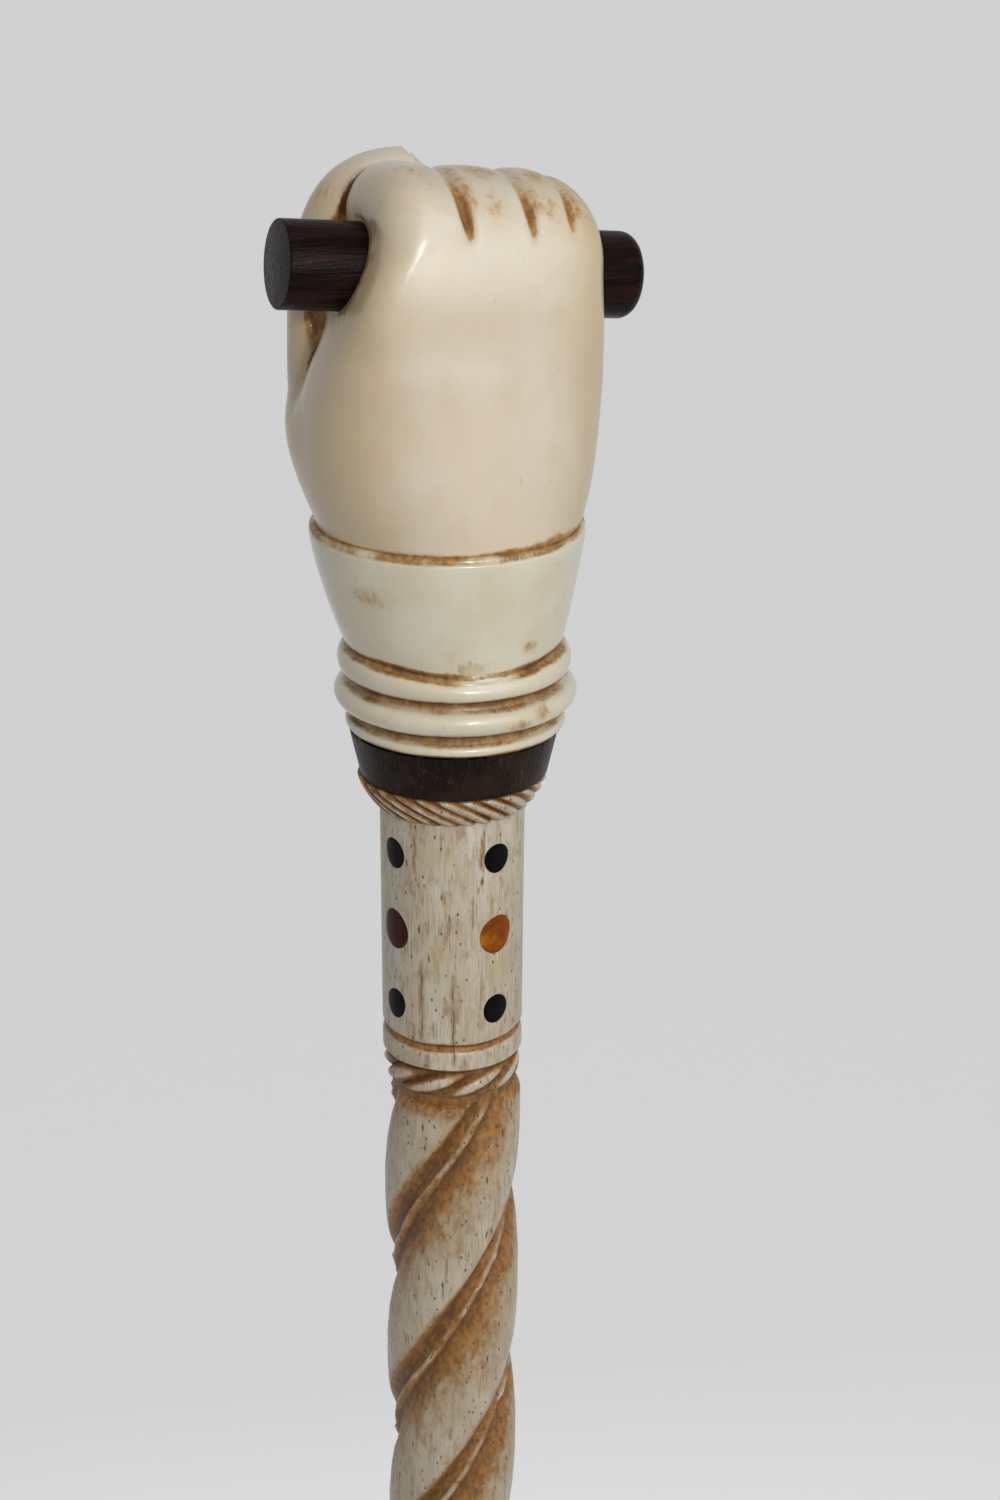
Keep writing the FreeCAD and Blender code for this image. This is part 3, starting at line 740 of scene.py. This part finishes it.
def spacer_finish():
    wood = Finish("black_wood", Specular_IOR_Level=0.07)
    grain = wood.clouds(0.35, 4, 14).above(0.35, 0.75)
    scratches = wood.lines(0.45, 30, 0.02) * wood.clouds(2.2, 3, 1.5).above(0.52, 0.62)
    brown = wood.clouds(4, 3).above(0.45, 0.65)
    colour = wood.mix(grain, (0.009, 0.005, 0.0035), (0.020, 0.0115, 0.008))
    colour = wood.mix(brown * 0.6, colour, (0.034, 0.018, 0.011))
    wood.feed("Base Color", wood.mix(scratches * 0.55, colour, (0.15, 0.10, 0.07)))
    wood.feed("Roughness", grain * 0.15 + wood.clouds(3, 2) * 0.12 + 0.22)
    wood.bump(grain * 0.6 - scratches, 0.04)
    return wood


spacer_rows = 12
ring_columns = 256
spacer_mesh = spun(ring_columns, spacer_rows + 2, spacer_surface, ring=True)
set_down("turned_spacer", spacer_mesh, spacer_finish(), "spacer_ring")


# The cuff is turned from a cooler piece of ivory: a foot bead, a full round and a ring bead with
# dirt-filled grooves between them, each with a painted shadow along its upper edge, then a cup whose
# rim holds the wrist.

cuff_foot, cuff_top = heights("cuff")


def bow(foot_radius, foot, top_radius, top, bulge, rows):
    """A rounded bead from one height to the next, as (radius, height) rows."""
    turn = np.linspace(0, np.pi, rows)
    z = foot + (top - foot) * (1 - np.cos(turn)) / 2
    share = (z - foot) / (top - foot)
    return list(zip(foot_radius + share * (top_radius - foot_radius) + bulge * np.sin(turn), z))


def cuff_outline():
    z = cuff_foot
    rows = bow(13.55, z, 13.65, z + 1.5, 0.75, 10)
    rows += [(13.35, z + 1.62), (13.3, z + 1.9), (13.3, z + 2.2), (13.3, z + 2.5), (13.35, z + 2.8)]
    rows += bow(13.75, z + 2.95, 14.05, z + 6.3, 1.85, 18)
    rows += [(13.85, z + 6.4), (13.75, z + 6.65), (13.7, z + 6.95), (13.75, z + 7.25), (13.85, z + 7.45)]
    rows += bow(14.1, z + 7.55, 14.15, z + 10.85, 1.0, 16)
    rows += [(13.9, z + 11.0), (13.8, z + 11.15), (13.75, z + 11.3), (13.8, z + 11.5)]
    cup = bow(13.95, z + 11.65, 17.5, cuff_top - 0.9, 0.42, 32)
    edge = [(17.55, cuff_top - 0.5), (17.5, cuff_top - 0.25), (17.38, cuff_top - 0.08)]
    rim = [(17.15, cuff_top), (16.8, cuff_top + 0.12), (16.4, cuff_top)]
    return np.array(rows + cup + edge + rim)


# Lines of dirt in the grooves, darker along the upper edge as painted shadow under the bead above: the
# height over the cuff's foot, half the line's width and its strength
cuff_lines = [(2.35, 1.5, 1.05), (7.05, 1.35, 1.1), (11.4, 1.2, 1.05), (-0.1, 0.9, 1.0)]
# Brown spots on the cup: the angle about the stick, the height over the cuff's foot, size and strength
cup_spots = [
    (-56, 21.2, 2.6, 0.3),
    (20, 14.2, 1.2, 0.45),
    (-11, 12.6, 1.9, 0.28),
    (12, 4.0, 1.7, 0.36),
    (26, 5.2, 1.7, 0.34),
    (150, 18, 3.0, 0.35),
    (-140, 21, 2.4, 0.3),
]


def off_angle(turn, degrees):
    """How many degrees a turn in radians is from an angle, at most 180 either way."""
    off = turn - math.radians(degrees)
    return np.degrees(np.arctan2(np.sin(off), np.cos(off)))


def cuff_surface(column, row):
    outline = cuff_outline()
    bore = [(rod_bore, cuff_top), (rod_bore, tenon_top)]
    socket = [(tenon_socket, tenon_top), (tenon_socket, cuff_foot)]
    section = np.vstack([outline, bore, socket])
    turn = np.radians(column * 360 / ring_columns)
    radius, z = section[row, 0], section[row, 1]
    height = z - cuff_foot
    on_side = row < len(outline)
    z = z - 1.0 * bell(off_angle(turn, -6), 62) * bell(height - 11.3, 4.2) * on_side
    worn_groove = bell(height - 11.3, 0.8) * bell(off_angle(turn, -4), 30)
    radius = radius + on_side * (0.05 * waver(turn, 0.5 * height, 4) + 0.85 * worn_groove)
    stain_and_shade = np.zeros(row.shape)
    for middle, half, strength in cuff_lines:
        uneven = 1 + 0.22 * waver(2 * turn, 0, middle)
        line = ease(bell(height - middle, half * uneven), 0.08, 0.85)
        strength = strength * (1 + 0.22 * waver(5 * turn, 0, 2 * middle))
        # The upper part of each line is darker: a painted shadow under the bead above.
        stain_and_shade = np.maximum(stain_and_shade, strength * line * (0.68 + 0.32 * ease(height - middle, -0.4, 0.2)))
    stain_and_shade = stain_and_shade - 1.15 * worn_groove
    for degrees, middle, size, strength in cup_spots:
        away = np.hypot(off_angle(turn, degrees) * 0.15, height - middle)
        stain_and_shade = np.maximum(stain_and_shade, strength * bell(away, size) * (1 + 0.4 * waver(7 * turn, 2 * height, 1)))
    seam_z = cuff_top - 0.75 + 0.5 * ease(np.sin(turn), 0, 0.8) - 0.12 * waver(7 * turn, 0, 3)
    seam = ease(z, seam_z - 0.25, seam_z + 0.15) * (0.42 + 0.3 * waver(3 * turn, 0, 5))
    stain_and_shade = np.maximum(stain_and_shade, seam) * on_side
    lean = 0.42 - 1.1 * ease(height, 4, 25)
    radius = radius + on_side * lean * np.sin(turn)
    return np.degrees(turn), radius, z, np.clip(stain_and_shade, 0, 1)


def cuff_finish():
    ivory = Finish("turned_ivory", Coat_Roughness=0.07, **cloudy(0.2, 1.2, (1.0, 0.8, 0.5)))
    tone = ivory.clouds(8, 3).above(0.35, 0.65)
    clean = ivory.mix(tone, (0.735, 0.69, 0.545), (0.705, 0.63, 0.46))
    spots = ivory.clouds(3.8, 3, 1.2).above(0.6, 0.8)
    clean = ivory.mix(spots * 0.3, clean, (0.56, 0.44, 0.22))
    colour = stained_and_shaded(ivory, clean, (0.62, 0.50, 0.28), (0.38, 0.20, 0.058), (0.115, 0.042, 0.015))
    stain_and_shade = ivory.attribute("stain_and_shade")
    ivory.feed("Base Color", colour)
    ivory.feed("Roughness", ivory.clouds(2.5, 3) * 0.1 + stain_and_shade * 0.3 + 0.2)
    ivory.feed("Coat Weight", 0.4 - stain_and_shade * 0.4)
    ivory.bump(ivory.clouds(2.2, 2) - stain_and_shade.above(0.45, 0.9) * ivory.clouds(0.5, 3), 0.06)
    return ivory


cuff_mesh = spun(ring_columns, len(cuff_outline()) + 4, cuff_surface, ring=True)
set_down("turned_cuff", cuff_mesh, cuff_finish(), "cuff")


# The centre rod is a plain iron pin hidden inside the stick. It ties the shaft's tenon, the cuff and
# the hand together, glued into a hole drilled through them.

dress("centre_rod", forged_iron)


# The hand is a right fist carved from one piece of ivory, hollowed to take the bar and drilled for
# the rod. It is worn smooth and polished; brown dirt lies between its fingers and round the bar.
# Painted shade darkens its hollows and its sides, and a painted shadow of the bar rings the bar's hole.

wrist_z = heights("hand")[0]
hand_top = heights("hand")[1] - wrist_z
bar_tilt = math.radians(5.5)
bar_y = -2.0
bar_height = 32.1
bar_bore = 5.45
rod_depth = 18.0
fist_reach = 13.0
fist_right_x = 15.7
fist_left_x = -15.6
fist_rounding = 5.6
palm_end_z = 39.5
palm_rounding = 4
palm_fillet = 2.6
thumb_fillet = 3.6
finger_edges = [-3.3, 4.8, 10.7]
finger_places = [-15.0, *finger_edges, 16.2]

palm_form = {
    "height": [-4, 0, 4.6, 10.6, 16.6, 21.6, 26.6, 31.0, 35.5, 40.0],
    "middle_x": [-0.5, -0.5, -0.7, -0.75, -0.5, -0.35, -0.2, 0.2, 0.6, 1.0],
    "half_x": [16.5, 16.9, 18.1, 18.8, 18.7, 18.0, 16.4, 14.8, 13.6, 12.2],
    "middle_y": [0, 0, 0, -0.1, -1.0, -3.0, -5.0, -5.4, -5.4, -5.0],
    "half_y": [16.5, 16.9, 16.8, 16.3, 14.9, 12.6, 10.2, 9.4, 8.4, 6.6],
    "power": [2, 2, 2.1, 2.25, 2.35, 2.5, 2.7, 2.9, 3, 3],
}
# Seen along the bar: the angle from the back of the hand over the top, and the reach from the bar
fist_form = {
    "angle": [-90, -62, -38, -14, 10, 28, 48, 70, 90, 110, 130, 150, 170, 190, 208, 228, 248, 270],
    "reach": [0.9, 1, 1.05, 1, 0.985, 1.03, 1.06, 1.01, 0.97, 0.96, 1, 1.07, 1.06, 1, 1.05, 1.07, 1, 0.9],
}
thumb_form = {
    "x": [-7.6, -10.8, -12.3, -12.9, -12.6, -11.5, -9.4, -6.0, -1.0],
    "y": [2.94, 6.3, 8.5, 9.8, 10.2, 10.3, 9.8, 9.0, 8.6],
    "z": [4.2, 10.6, 16.7, 22.5, 28.6, 34.7, 38.8, 40.7, 41.0],
    "radius": [5.0, 7.8, 6.2, 5.2, 5.1, 4.9, 4.8, 4.7, 4.6],
}
thumb_tip_x = -1.7
# The hollow between the thumb and the index finger, from its foot up past the bar
hollow_form = {
    "x": [-16.3, -16.2, -15.9, -15.0, -13.0, -11.4, -10.4],
    "y": [5.0, 5.1, 5.2, 5.3, 5.3, 5.2, 5.0],
    "z": [21.2, 23.8, 26.5, 31.0, 35.5, 39.5, 43.5],
    "radius": [0.1, 1.0, 1.7, 1.8, 1.5, 0.8, 0.35],
}
# A cut between two fingers, by its angle over the fist: half its width, and its depth
finger_cut = {
    "angle": [21, 28, 37, 54, 76, 100, 130, 180, 235, 255],
    "depth": [0, 0.6, 1.05, 0.8, 0.5, 0.6, 1.0, 1.2, 1.1, 0],
    "width": [0.9, 1.1, 1.3, 1.35, 1.3, 1.2, 1.5, 1.7, 1.7, 1.2],
}

# Brown spots on the ivory: the middle, how far it spreads along each axis, and how dark it is
hand_spots = [
    ((-15.2, 8.5, 41.0), (3.5, 4.0, 4.5), 0.3),
    ((1.2, -5.0, 44.5), (4.6, 6.0, 3.4), 0.34),
    ((8.0, -6.0, 43.5), (3.4, 5.5, 3.4), 0.32),
    ((13.0, -7.0, 42.0), (3.0, 5.0, 4.0), 0.36),
    ((-7.0, -6.0, 45.0), (4.5, 6.0, 3.0), 0.2),
    ((15.5, -7.0, 17.0), (3.0, 4.5, 6.0), 0.24),
    ((0.8, -12.0, 41.0), (3.8, 5.5, 5.5), 0.2),
    ((7.8, -12.0, 40.5), (3.0, 5.0, 4.5), 0.17),
    ((13.2, -11.0, 39.0), (3.0, 5.0, 5.0), 0.2),
]


def curve(at, places, values):
    """A smooth curve through the values, read at those places."""
    places, values = np.array(places, float), np.array(values, float)
    slopes = np.gradient(values, places)
    first = np.clip(np.searchsorted(places, at) - 1, 0, len(places) - 2)
    step = places[first + 1] - places[first]
    t = np.clip((at - places[first]) / step, 0, 1)
    start = (1 + 2 * t) * (1 - t) ** 2 * values[first] + t * (1 - t) ** 2 * step * slopes[first]
    end = t * t * (3 - 2 * t) * values[first + 1] - t * t * (1 - t) * step * slopes[first + 1]
    return start + end


def blend(first, second, width):
    """The union of two forms, with a fillet of about that width where they meet."""
    near = np.maximum(width - np.abs(first - second), 0) / width
    return np.minimum(first, second) - near * near * width / 4


def meet(first, second, radius):
    """What two forms share, its edge rounded."""
    a, b = first + radius, second + radius
    return np.hypot(np.maximum(a, 0), np.maximum(b, 0)) + np.minimum(np.maximum(a, b), 0) - radius


def palm_distance(x, y, z):
    form = {key: curve(z, palm_form["height"], palm_form[key]) for key in palm_form if key != "height"}
    across = np.abs(x - form["middle_x"]) / form["half_x"]
    deep = np.abs(y - form["middle_y"]) / form["half_y"]
    size = (across ** form["power"] + deep ** form["power"]) ** (1 / form["power"]) + 1e-6
    side = np.hypot(x - form["middle_x"], y - form["middle_y"]) * (1 - 1 / size)
    return meet(side, z - palm_end_z, palm_rounding)


def bar_frame(x, y, z):
    """The distance from the bar's axis, and the angle round it from the back of the hand."""
    down, up = y - bar_y, (z - bar_height + x * math.tan(bar_tilt)) * math.cos(bar_tilt)
    angle = (np.degrees(np.arctan2(up, -down)) + 90) % 360 - 90
    return np.hypot(down, up), angle


def fist_distance(x, y, z):
    distance, angle = bar_frame(x, y, z)
    reach = fist_reach * curve(angle, fist_form["angle"], fist_form["reach"])
    fingered = ease(angle, 25, 60)
    last = np.clip(np.searchsorted(finger_places, x), 1, 4)
    left_edge, right_edge = np.array(finger_places)[last - 1], np.array(finger_places)[last]
    from_middle = (2 * x - left_edge - right_edge) / (right_edge - left_edge)
    reach = reach - fingered * (0.35 + 0.35 * ease(angle, 90, 140)) * np.clip(from_middle, -1, 1) ** 2
    reach = reach + 0.5 * bell(angle - 118, 40) * ease(-x, 2, 6)
    reach = reach - (1 - fingered) * 0.9 * ((x - 1.4) / 16) ** 2
    reach = reach - 0.9 * ease(x, 8, 15) * ease(angle, 20, 60)
    left_side = fist_left_x + 2.9 * ease(z, 29, 38) + 1.2 * ease(y, 1, 9)
    side = np.maximum(left_side - x, x - fist_right_x - 0.3 * ease(z, 29, 36))
    return meet(distance - reach, side, fist_rounding - 2.3 * ease(-x, -2, 8) * (1 - ease(z, 34, 42)))


def round_path(form, x, y, z):
    """The distance outside a ball that runs along a path while its radius changes."""
    count = len(form["x"])
    steps = np.linspace(0, count - 1, 6 * count)
    stations = [curve(steps, np.arange(count), form[key]) for key in ("x", "y", "z", "radius")]
    nearest = np.full(x.shape, 99.0)
    for middle_x, middle_y, middle_z, radius in zip(*stations):
        away = np.sqrt((x - middle_x) ** 2 + (y - middle_y) ** 2 + (z - middle_z) ** 2)
        nearest = np.minimum(nearest, away - radius)
    return nearest


def hand_marks(x, y, z):
    """How deep the cuts between the fingers are, in millimetres."""
    distance, angle = bar_frame(x, y, z)
    cuts = np.zeros(x.shape)
    for edge, strength, lean, start in zip(finger_edges, (1.0, 0.75, 0.7), (0.5, 0.4, -0.2), (0, 1, 5)):
        along = angle - start * bell(angle - 30, 60)
        half = strength**0.5 * curve(along, finger_cut["angle"], finger_cut["width"])
        place = edge + lean * (1 - ease(angle, 25, 70)) + 0.15 * np.sin(angle / 19 + edge)
        line = bell(x - place, half) * (along > 21) * (along < 255)
        cuts = np.maximum(cuts, strength * curve(along, finger_cut["angle"], finger_cut["depth"]) * line)
    return cuts * (1 - ease(distance, 14.8, 16.3))


def hand_distance(x, y, z):
    """How far outside the carved hand a point is, with the wrist at zero."""
    palm, fist = palm_distance(x, y, z), fist_distance(x, y, z)
    thumb = meet(round_path(thumb_form, x, y, z), x - thumb_tip_x, 0.7)
    fingers_tuck = ease(y, 1, 6) * ease(z, 10, 16) * (1 - ease(z, 30, 34))
    body = blend(palm, fist, palm_fillet - 2.0 * fingers_tuck) + 0.7 * fingers_tuck * bell(palm - fist, 1.4)
    body = body + hand_marks(x, y, z)
    rising = ease(z, 12, 22)
    crevice = rising * bell(thumb - body, 1.3)
    whole = blend(body, thumb, thumb_fillet - 3.0 * rising) + 0.8 * crevice
    whole = meet(whole, -round_path(hollow_form, x, y, z), 0.5)
    distance, angle = bar_frame(x, y, z)
    whole = whole + 0.3 * bell(distance - bar_bore, 1.1)
    return meet(whole, -z, 0.2)


def slope_of(field, at, step=0.05):
    """The field at each point, and the way that it grows fastest."""
    value = field(*at.T)
    slope = np.empty_like(at)
    for axis in range(3):
        shift = np.zeros(3)
        shift[axis] = step
        slope[:, axis] = (field(*(at + shift).T) - field(*(at - shift).T)) / (2 * step)
    return value, slope


def settle(at, field, rounds):
    """Moves each point onto the surface where the field is zero."""
    for _ in range(rounds):
        value, slope = slope_of(field, at)
        steep = np.maximum((slope**2).sum(axis=1), 0.25)
        move = slope * (value / steep)[:, None]
        length = np.linalg.norm(move, axis=1, keepdims=True)
        at = at - move * np.minimum(1, 0.8 / np.maximum(length, 1e-9))
    return at


def rough_hand(column, row):
    """The outermost surface of the hand at each angle and height: the block that is then carved."""
    z = np.clip((row - 1) / (hand_rows - 3), 0, 1) * (hand_top - 1.9)
    angle = column * 360 / hand_columns
    turn = np.radians(angle)
    radius = np.zeros(row.shape)
    for reach in np.arange(1.0, 26.0, 0.4):
        inside = hand_distance(reach * np.sin(turn), -reach * np.cos(turn), np.maximum(z, 0.3)) < 0
        radius = np.where(inside, reach, radius)
    radius = np.where((row == 0) | (row == hand_rows - 1), 0, radius)
    return angle, radius, z, radius * 0


def remeshed(bm, voxel):
    """The same form under an even net of small quads."""
    mesh = meshed("rough", bm)
    holder = added("rough", mesh)
    remesh = holder.modifiers.new("net", "REMESH")
    remesh.mode = "VOXEL"
    remesh.voxel_size = voxel * MM
    evaluated = holder.evaluated_get(bpy.context.evaluated_depsgraph_get())
    even = bmesh.new()
    even.from_mesh(evaluated.to_mesh())
    bpy.data.objects.remove(holder)
    bpy.data.meshes.remove(mesh)
    return even


def carve_hand():
    bm = remeshed(spun(hand_columns, hand_rows, rough_hand), hand_voxel)
    at = settle(np.array([v.co for v in bm.verts]) / MM, hand_distance, 6)
    for vertex, place in zip(bm.verts, at.tolist()):
        vertex.co = place
    every_way = {"use_axis_x": True, "use_axis_y": True, "use_axis_z": True}
    bmesh.ops.smooth_vert(bm, verts=bm.verts, factor=0.5, **every_way)
    at = settle(np.array([v.co for v in bm.verts]), hand_distance, 3)
    at[:, 2] = np.maximum(at[:, 2], 0)

    slope = slope_of(hand_distance, at)[1]
    normal = slope / np.linalg.norm(slope, axis=1, keepdims=True)
    # How closed in the surface is round each point: it darkens the hollows as painted shade, together with
    # the dirt that settles there.
    hollow_dirt_and_shade = np.clip(1 - hand_distance(*(at + 1.6 * normal).T) / 1.6, 0, 1)
    distance, angle = bar_frame(*at.T)
    marks = hand_marks(*at.T)
    x, y, z = at.T
    low_end = 1 - ease(angle, 34, 72)
    cut_dirt = ease(marks, 0.12, 0.85) * (0.4 + 0.65 * low_end)
    for edge, strength in zip(finger_edges, (0.3, 0.26, 0.3)):
        beside = bell(x - edge - 1.0, 2.2) * ease(angle, 32, 46) * (1 - ease(angle, 75, 110))
        cut_dirt = np.maximum(cut_dirt, strength * beside * (0.7 + 0.6 * low_end))
    seam_height = (0.6 + 1.4 * ease(x, -6, 12)) * (0.85 + 0.3 * waver(6 * np.arctan2(x, -y), 0, 2))
    # What darkens each point: dirt in the finger cuts, painted shade with dirt in the hollows, a painted
    # shadow of the bar round its hole, dirt in the hollow by the thumb, dirt at the wrist and brown spots.
    darkening = [
        cut_dirt * (angle < 110),
        1.15 * ease(hollow_dirt_and_shade, 0.25, 0.8),
        # A painted shadow of the bar, brownish with some dirt, round its hole, weaker towards the little
        # finger's side.
        (0.4 - 0.12 * ease(x, 0, 10)) * bell(distance - bar_bore, 4.2),
        0.72 * ease(-round_path(hollow_form, *at.T), -0.9, 0.1),
        (1 - ease(z, 0.1, seam_height)) * (0.5 + 0.26 * ease(x, -14, 10)),
    ]
    for spot, size, strength in hand_spots:
        darkening.append(strength * bell(np.linalg.norm((at - spot) / size, axis=1), 1))
    move(bm, at + (0, 0, wrist_z), np.maximum.reduce(darkening))
    bmesh.ops.recalc_face_normals(bm, faces=bm.faces)
    return bm


def ivory_finish():
    ivory = Finish("worn_ivory", Coat_Roughness=0.08, **cloudy(0.22, 1.5, (1.0, 0.72, 0.42)))
    warm = ivory.clouds(10, 3).above(0.35, 0.65)
    clean = ivory.mix(warm, (0.73, 0.65, 0.52), (0.71, 0.60, 0.45))
    # Yellower and darker towards both sides of the hand: partly the ivory's own tone, partly painted shade.
    yellow = (abs(ivory.along("X") + 1) + ivory.clouds(7, 2) * 7 - 3.5).above(7, 15)
    clean = ivory.mix(yellow * 0.85, clean, (0.62, 0.475, 0.28))
    patches = ivory.clouds(6, 2, 1.3).above(0.5, 0.8)
    clean = ivory.mix(patches * 0.3, clean, (0.62, 0.49, 0.31))
    colour = stained_and_shaded(ivory, clean, (0.64, 0.50, 0.28), (0.44, 0.225, 0.062), (0.20, 0.075, 0.02))
    stain_and_shade = ivory.attribute("stain_and_shade")
    ivory.feed("Base Color", colour)
    ivory.feed("Roughness", ivory.clouds(2, 3) * 0.1 + stain_and_shade * 0.25 + 0.26)
    ivory.feed("Coat Weight", 0.36 - stain_and_shade * 0.36)
    ivory.bump(ivory.clouds(1.8, 2), 0.04)
    return ivory


hand_columns = 180
hand_rows = 110
hand_voxel = 0.34
hand = set_down("carved_hand", carve_hand(), ivory_finish(), "hand")
bar_line = (math.cos(bar_tilt), 0, -math.sin(bar_tilt))
bar_middle = (0, bar_y, wrist_z + bar_height)
bar_drill = rod_mesh(bar_bore, -30, 30, bar_line, bar_middle)
bored(hand, bar_drill, rod_mesh(rod_bore, wrist_z - 5, wrist_z + rod_depth))


# The bar is a rod of dark red-brown wood, turned and polished, a tight fit through the fist. Its
# thumb end is sawn square with a crisp edge, and its far end is well rounded.

bar_radius = 5.4
bar_length = 46.4
square_edge = 0.25
round_edge = 1.9


def turn_bar():
    """Built along the stick's axis from its square end at the bottom, then laid through the fist."""
    bm = upright_rod(bar_radius, bar_length, 128)
    near_end = (bar_length / 2 - 0.01) * MM
    rounding = {"profile": 0.5, "affect": "EDGES", "material": -1}
    for side, width, steps in [(-1, square_edge, 3), (1, round_edge, 8)]:
        rim = [e for e in bm.edges if all(v.co.z * side > near_end for v in e.verts)]
        bmesh.ops.bevel(bm, geom=rim, offset=width * MM, segments=steps, **rounding)
    laid(bm, bar_line, bar_middle)
    bmesh.ops.recalc_face_normals(bm, faces=bm.faces)
    return bm


def bar_finish():
    wood = Finish("dark_rosewood", Specular_IOR_Level=0.05)
    along = (0, -bar_tilt, 0)
    grain = wood.clouds(0.35, 4, (18, 1, 1), turn=along).above(0.4, 0.7)
    bands = wood.clouds(1.5, 3, (10, 1, 1), turn=along).above(0.42, 0.62)
    colour = wood.mix(bands, (0.006, 0.0024, 0.0021), (0.020, 0.0075, 0.0055))
    wood.feed("Base Color", wood.mix(grain * 0.6, colour, (0.003, 0.0015, 0.0013)))
    wood.feed("Roughness", grain * 0.12 + wood.clouds(2, 3) * 0.12 + 0.2)
    wood.bump(grain, 0.03)
    return wood


set_down("turned_bar", turn_bar(), bar_finish(), "grip_bar")


# The floor is a wide, plain, pale sweep that the stick stands on. It glows a little to the camera and
# in the gloss, so that it looks pale without more light on the stick.

floor_radius = 40.0
floor_grey = 0.88
floor_glow = 0.385


def lay_floor():
    bm = bmesh.new()
    bmesh.ops.create_circle(bm, cap_ends=True, segments=96, radius=floor_radius)
    floor = added("floor", meshed("floor", bm))
    paint = Finish("pale_floor", Roughness=0.9, Emission_Strength=1.0)
    grain = paint.clouds(40, 3)
    paint.feed("Base Color", paint.mix(grain, (floor_grey * 0.985,) * 3, (floor_grey,) * 3))
    paint.feed("Emission Color", paint.mix(paint.looked_at(), (0, 0, 0), (floor_glow,) * 3))
    floor.data.materials.append(paint.material)


lay_floor()


# The light is a soft room, a broad lamp close in front and above, and a small one by the camera.
# One more lifts the shade behind the stick. It isn't seen in the gloss, so it gives no glint.

room_light = 0.26
room_grey = 0.62
# Each lamp's place, what it points at, its width in metres, its power in watts, and if the gloss shows it
lamps = {
    "high_lamp": ((0.10, -0.56, 1.12), (0, 0, 0.85), 0.7, 1.75, True),
    "camera_lamp": ((-0.02, -0.40, 0.99), (0, 0, 0.85), 0.055, 0.58, True),
    "back_lamp": ((0.22, 0.95, 0.95), (0, 0, 0.9), 0.6, 4.5, False),
}


def light_room():
    """Even light from all round. What the camera and reflections see of it is a plain grey."""
    world = bpy.data.worlds.new("soft_room")
    bpy.context.scene.world = world
    room = Workbench(world)
    light = room.add("ShaderNodeBackground", None, {"Color": (1, 1, 1), "Strength": room_light})
    shown = room.add("ShaderNodeBackground", None, {"Color": (room_grey,) * 3})
    both = room.add("ShaderNodeMixShader", None, {0: room.looked_at(), 1: light, 2: shown})
    room.links.new(both.socket, room.nodes["World Output"].inputs["Surface"])


def aimed(thing, place, way, roll=0.0):
    """Puts a lamp or the camera in its place, looking that way."""
    thing.location = place
    thing.rotation_mode = "QUATERNION"
    turn = Matrix.Rotation(math.radians(roll), 4, "Z").to_quaternion()
    thing.rotation_quaternion = Vector(way).to_track_quat("-Z", "Y") @ turn


light_room()
for lamp_name, (lamp_place, lamp_target, lamp_width, lamp_power, in_gloss) in lamps.items():
    lamp = bpy.data.lights.new(lamp_name, "AREA")
    lamp.shape = "DISK"
    lamp.size = lamp_width
    lamp.energy = lamp_power
    holder = added(lamp_name, lamp)
    holder.visible_glossy = in_gloss
    aimed(holder, lamp_place, Vector(lamp_target) - Vector(lamp_place))


# The camera stands close in front of the fist, a little to its thumb side, and looks down on it,
# about 35 centimetres away, with a lens that frames the fist and the upper twist.

camera_place = (-0.11784, -0.30835, 0.93151)
camera_aim = (0.34926, 0.86443, -0.36162)
camera_roll = 0.42
camera_lens = 64.8

eye = bpy.data.cameras.new("camera")
eye.lens = camera_lens
eye.clip_start = 0.01
eye.clip_end = 200
camera = added("camera", eye)
aimed(camera, camera_place, camera_aim, camera_roll)
bpy.context.scene.camera = camera
bpy.context.scene.view_settings.view_transform = "Standard"
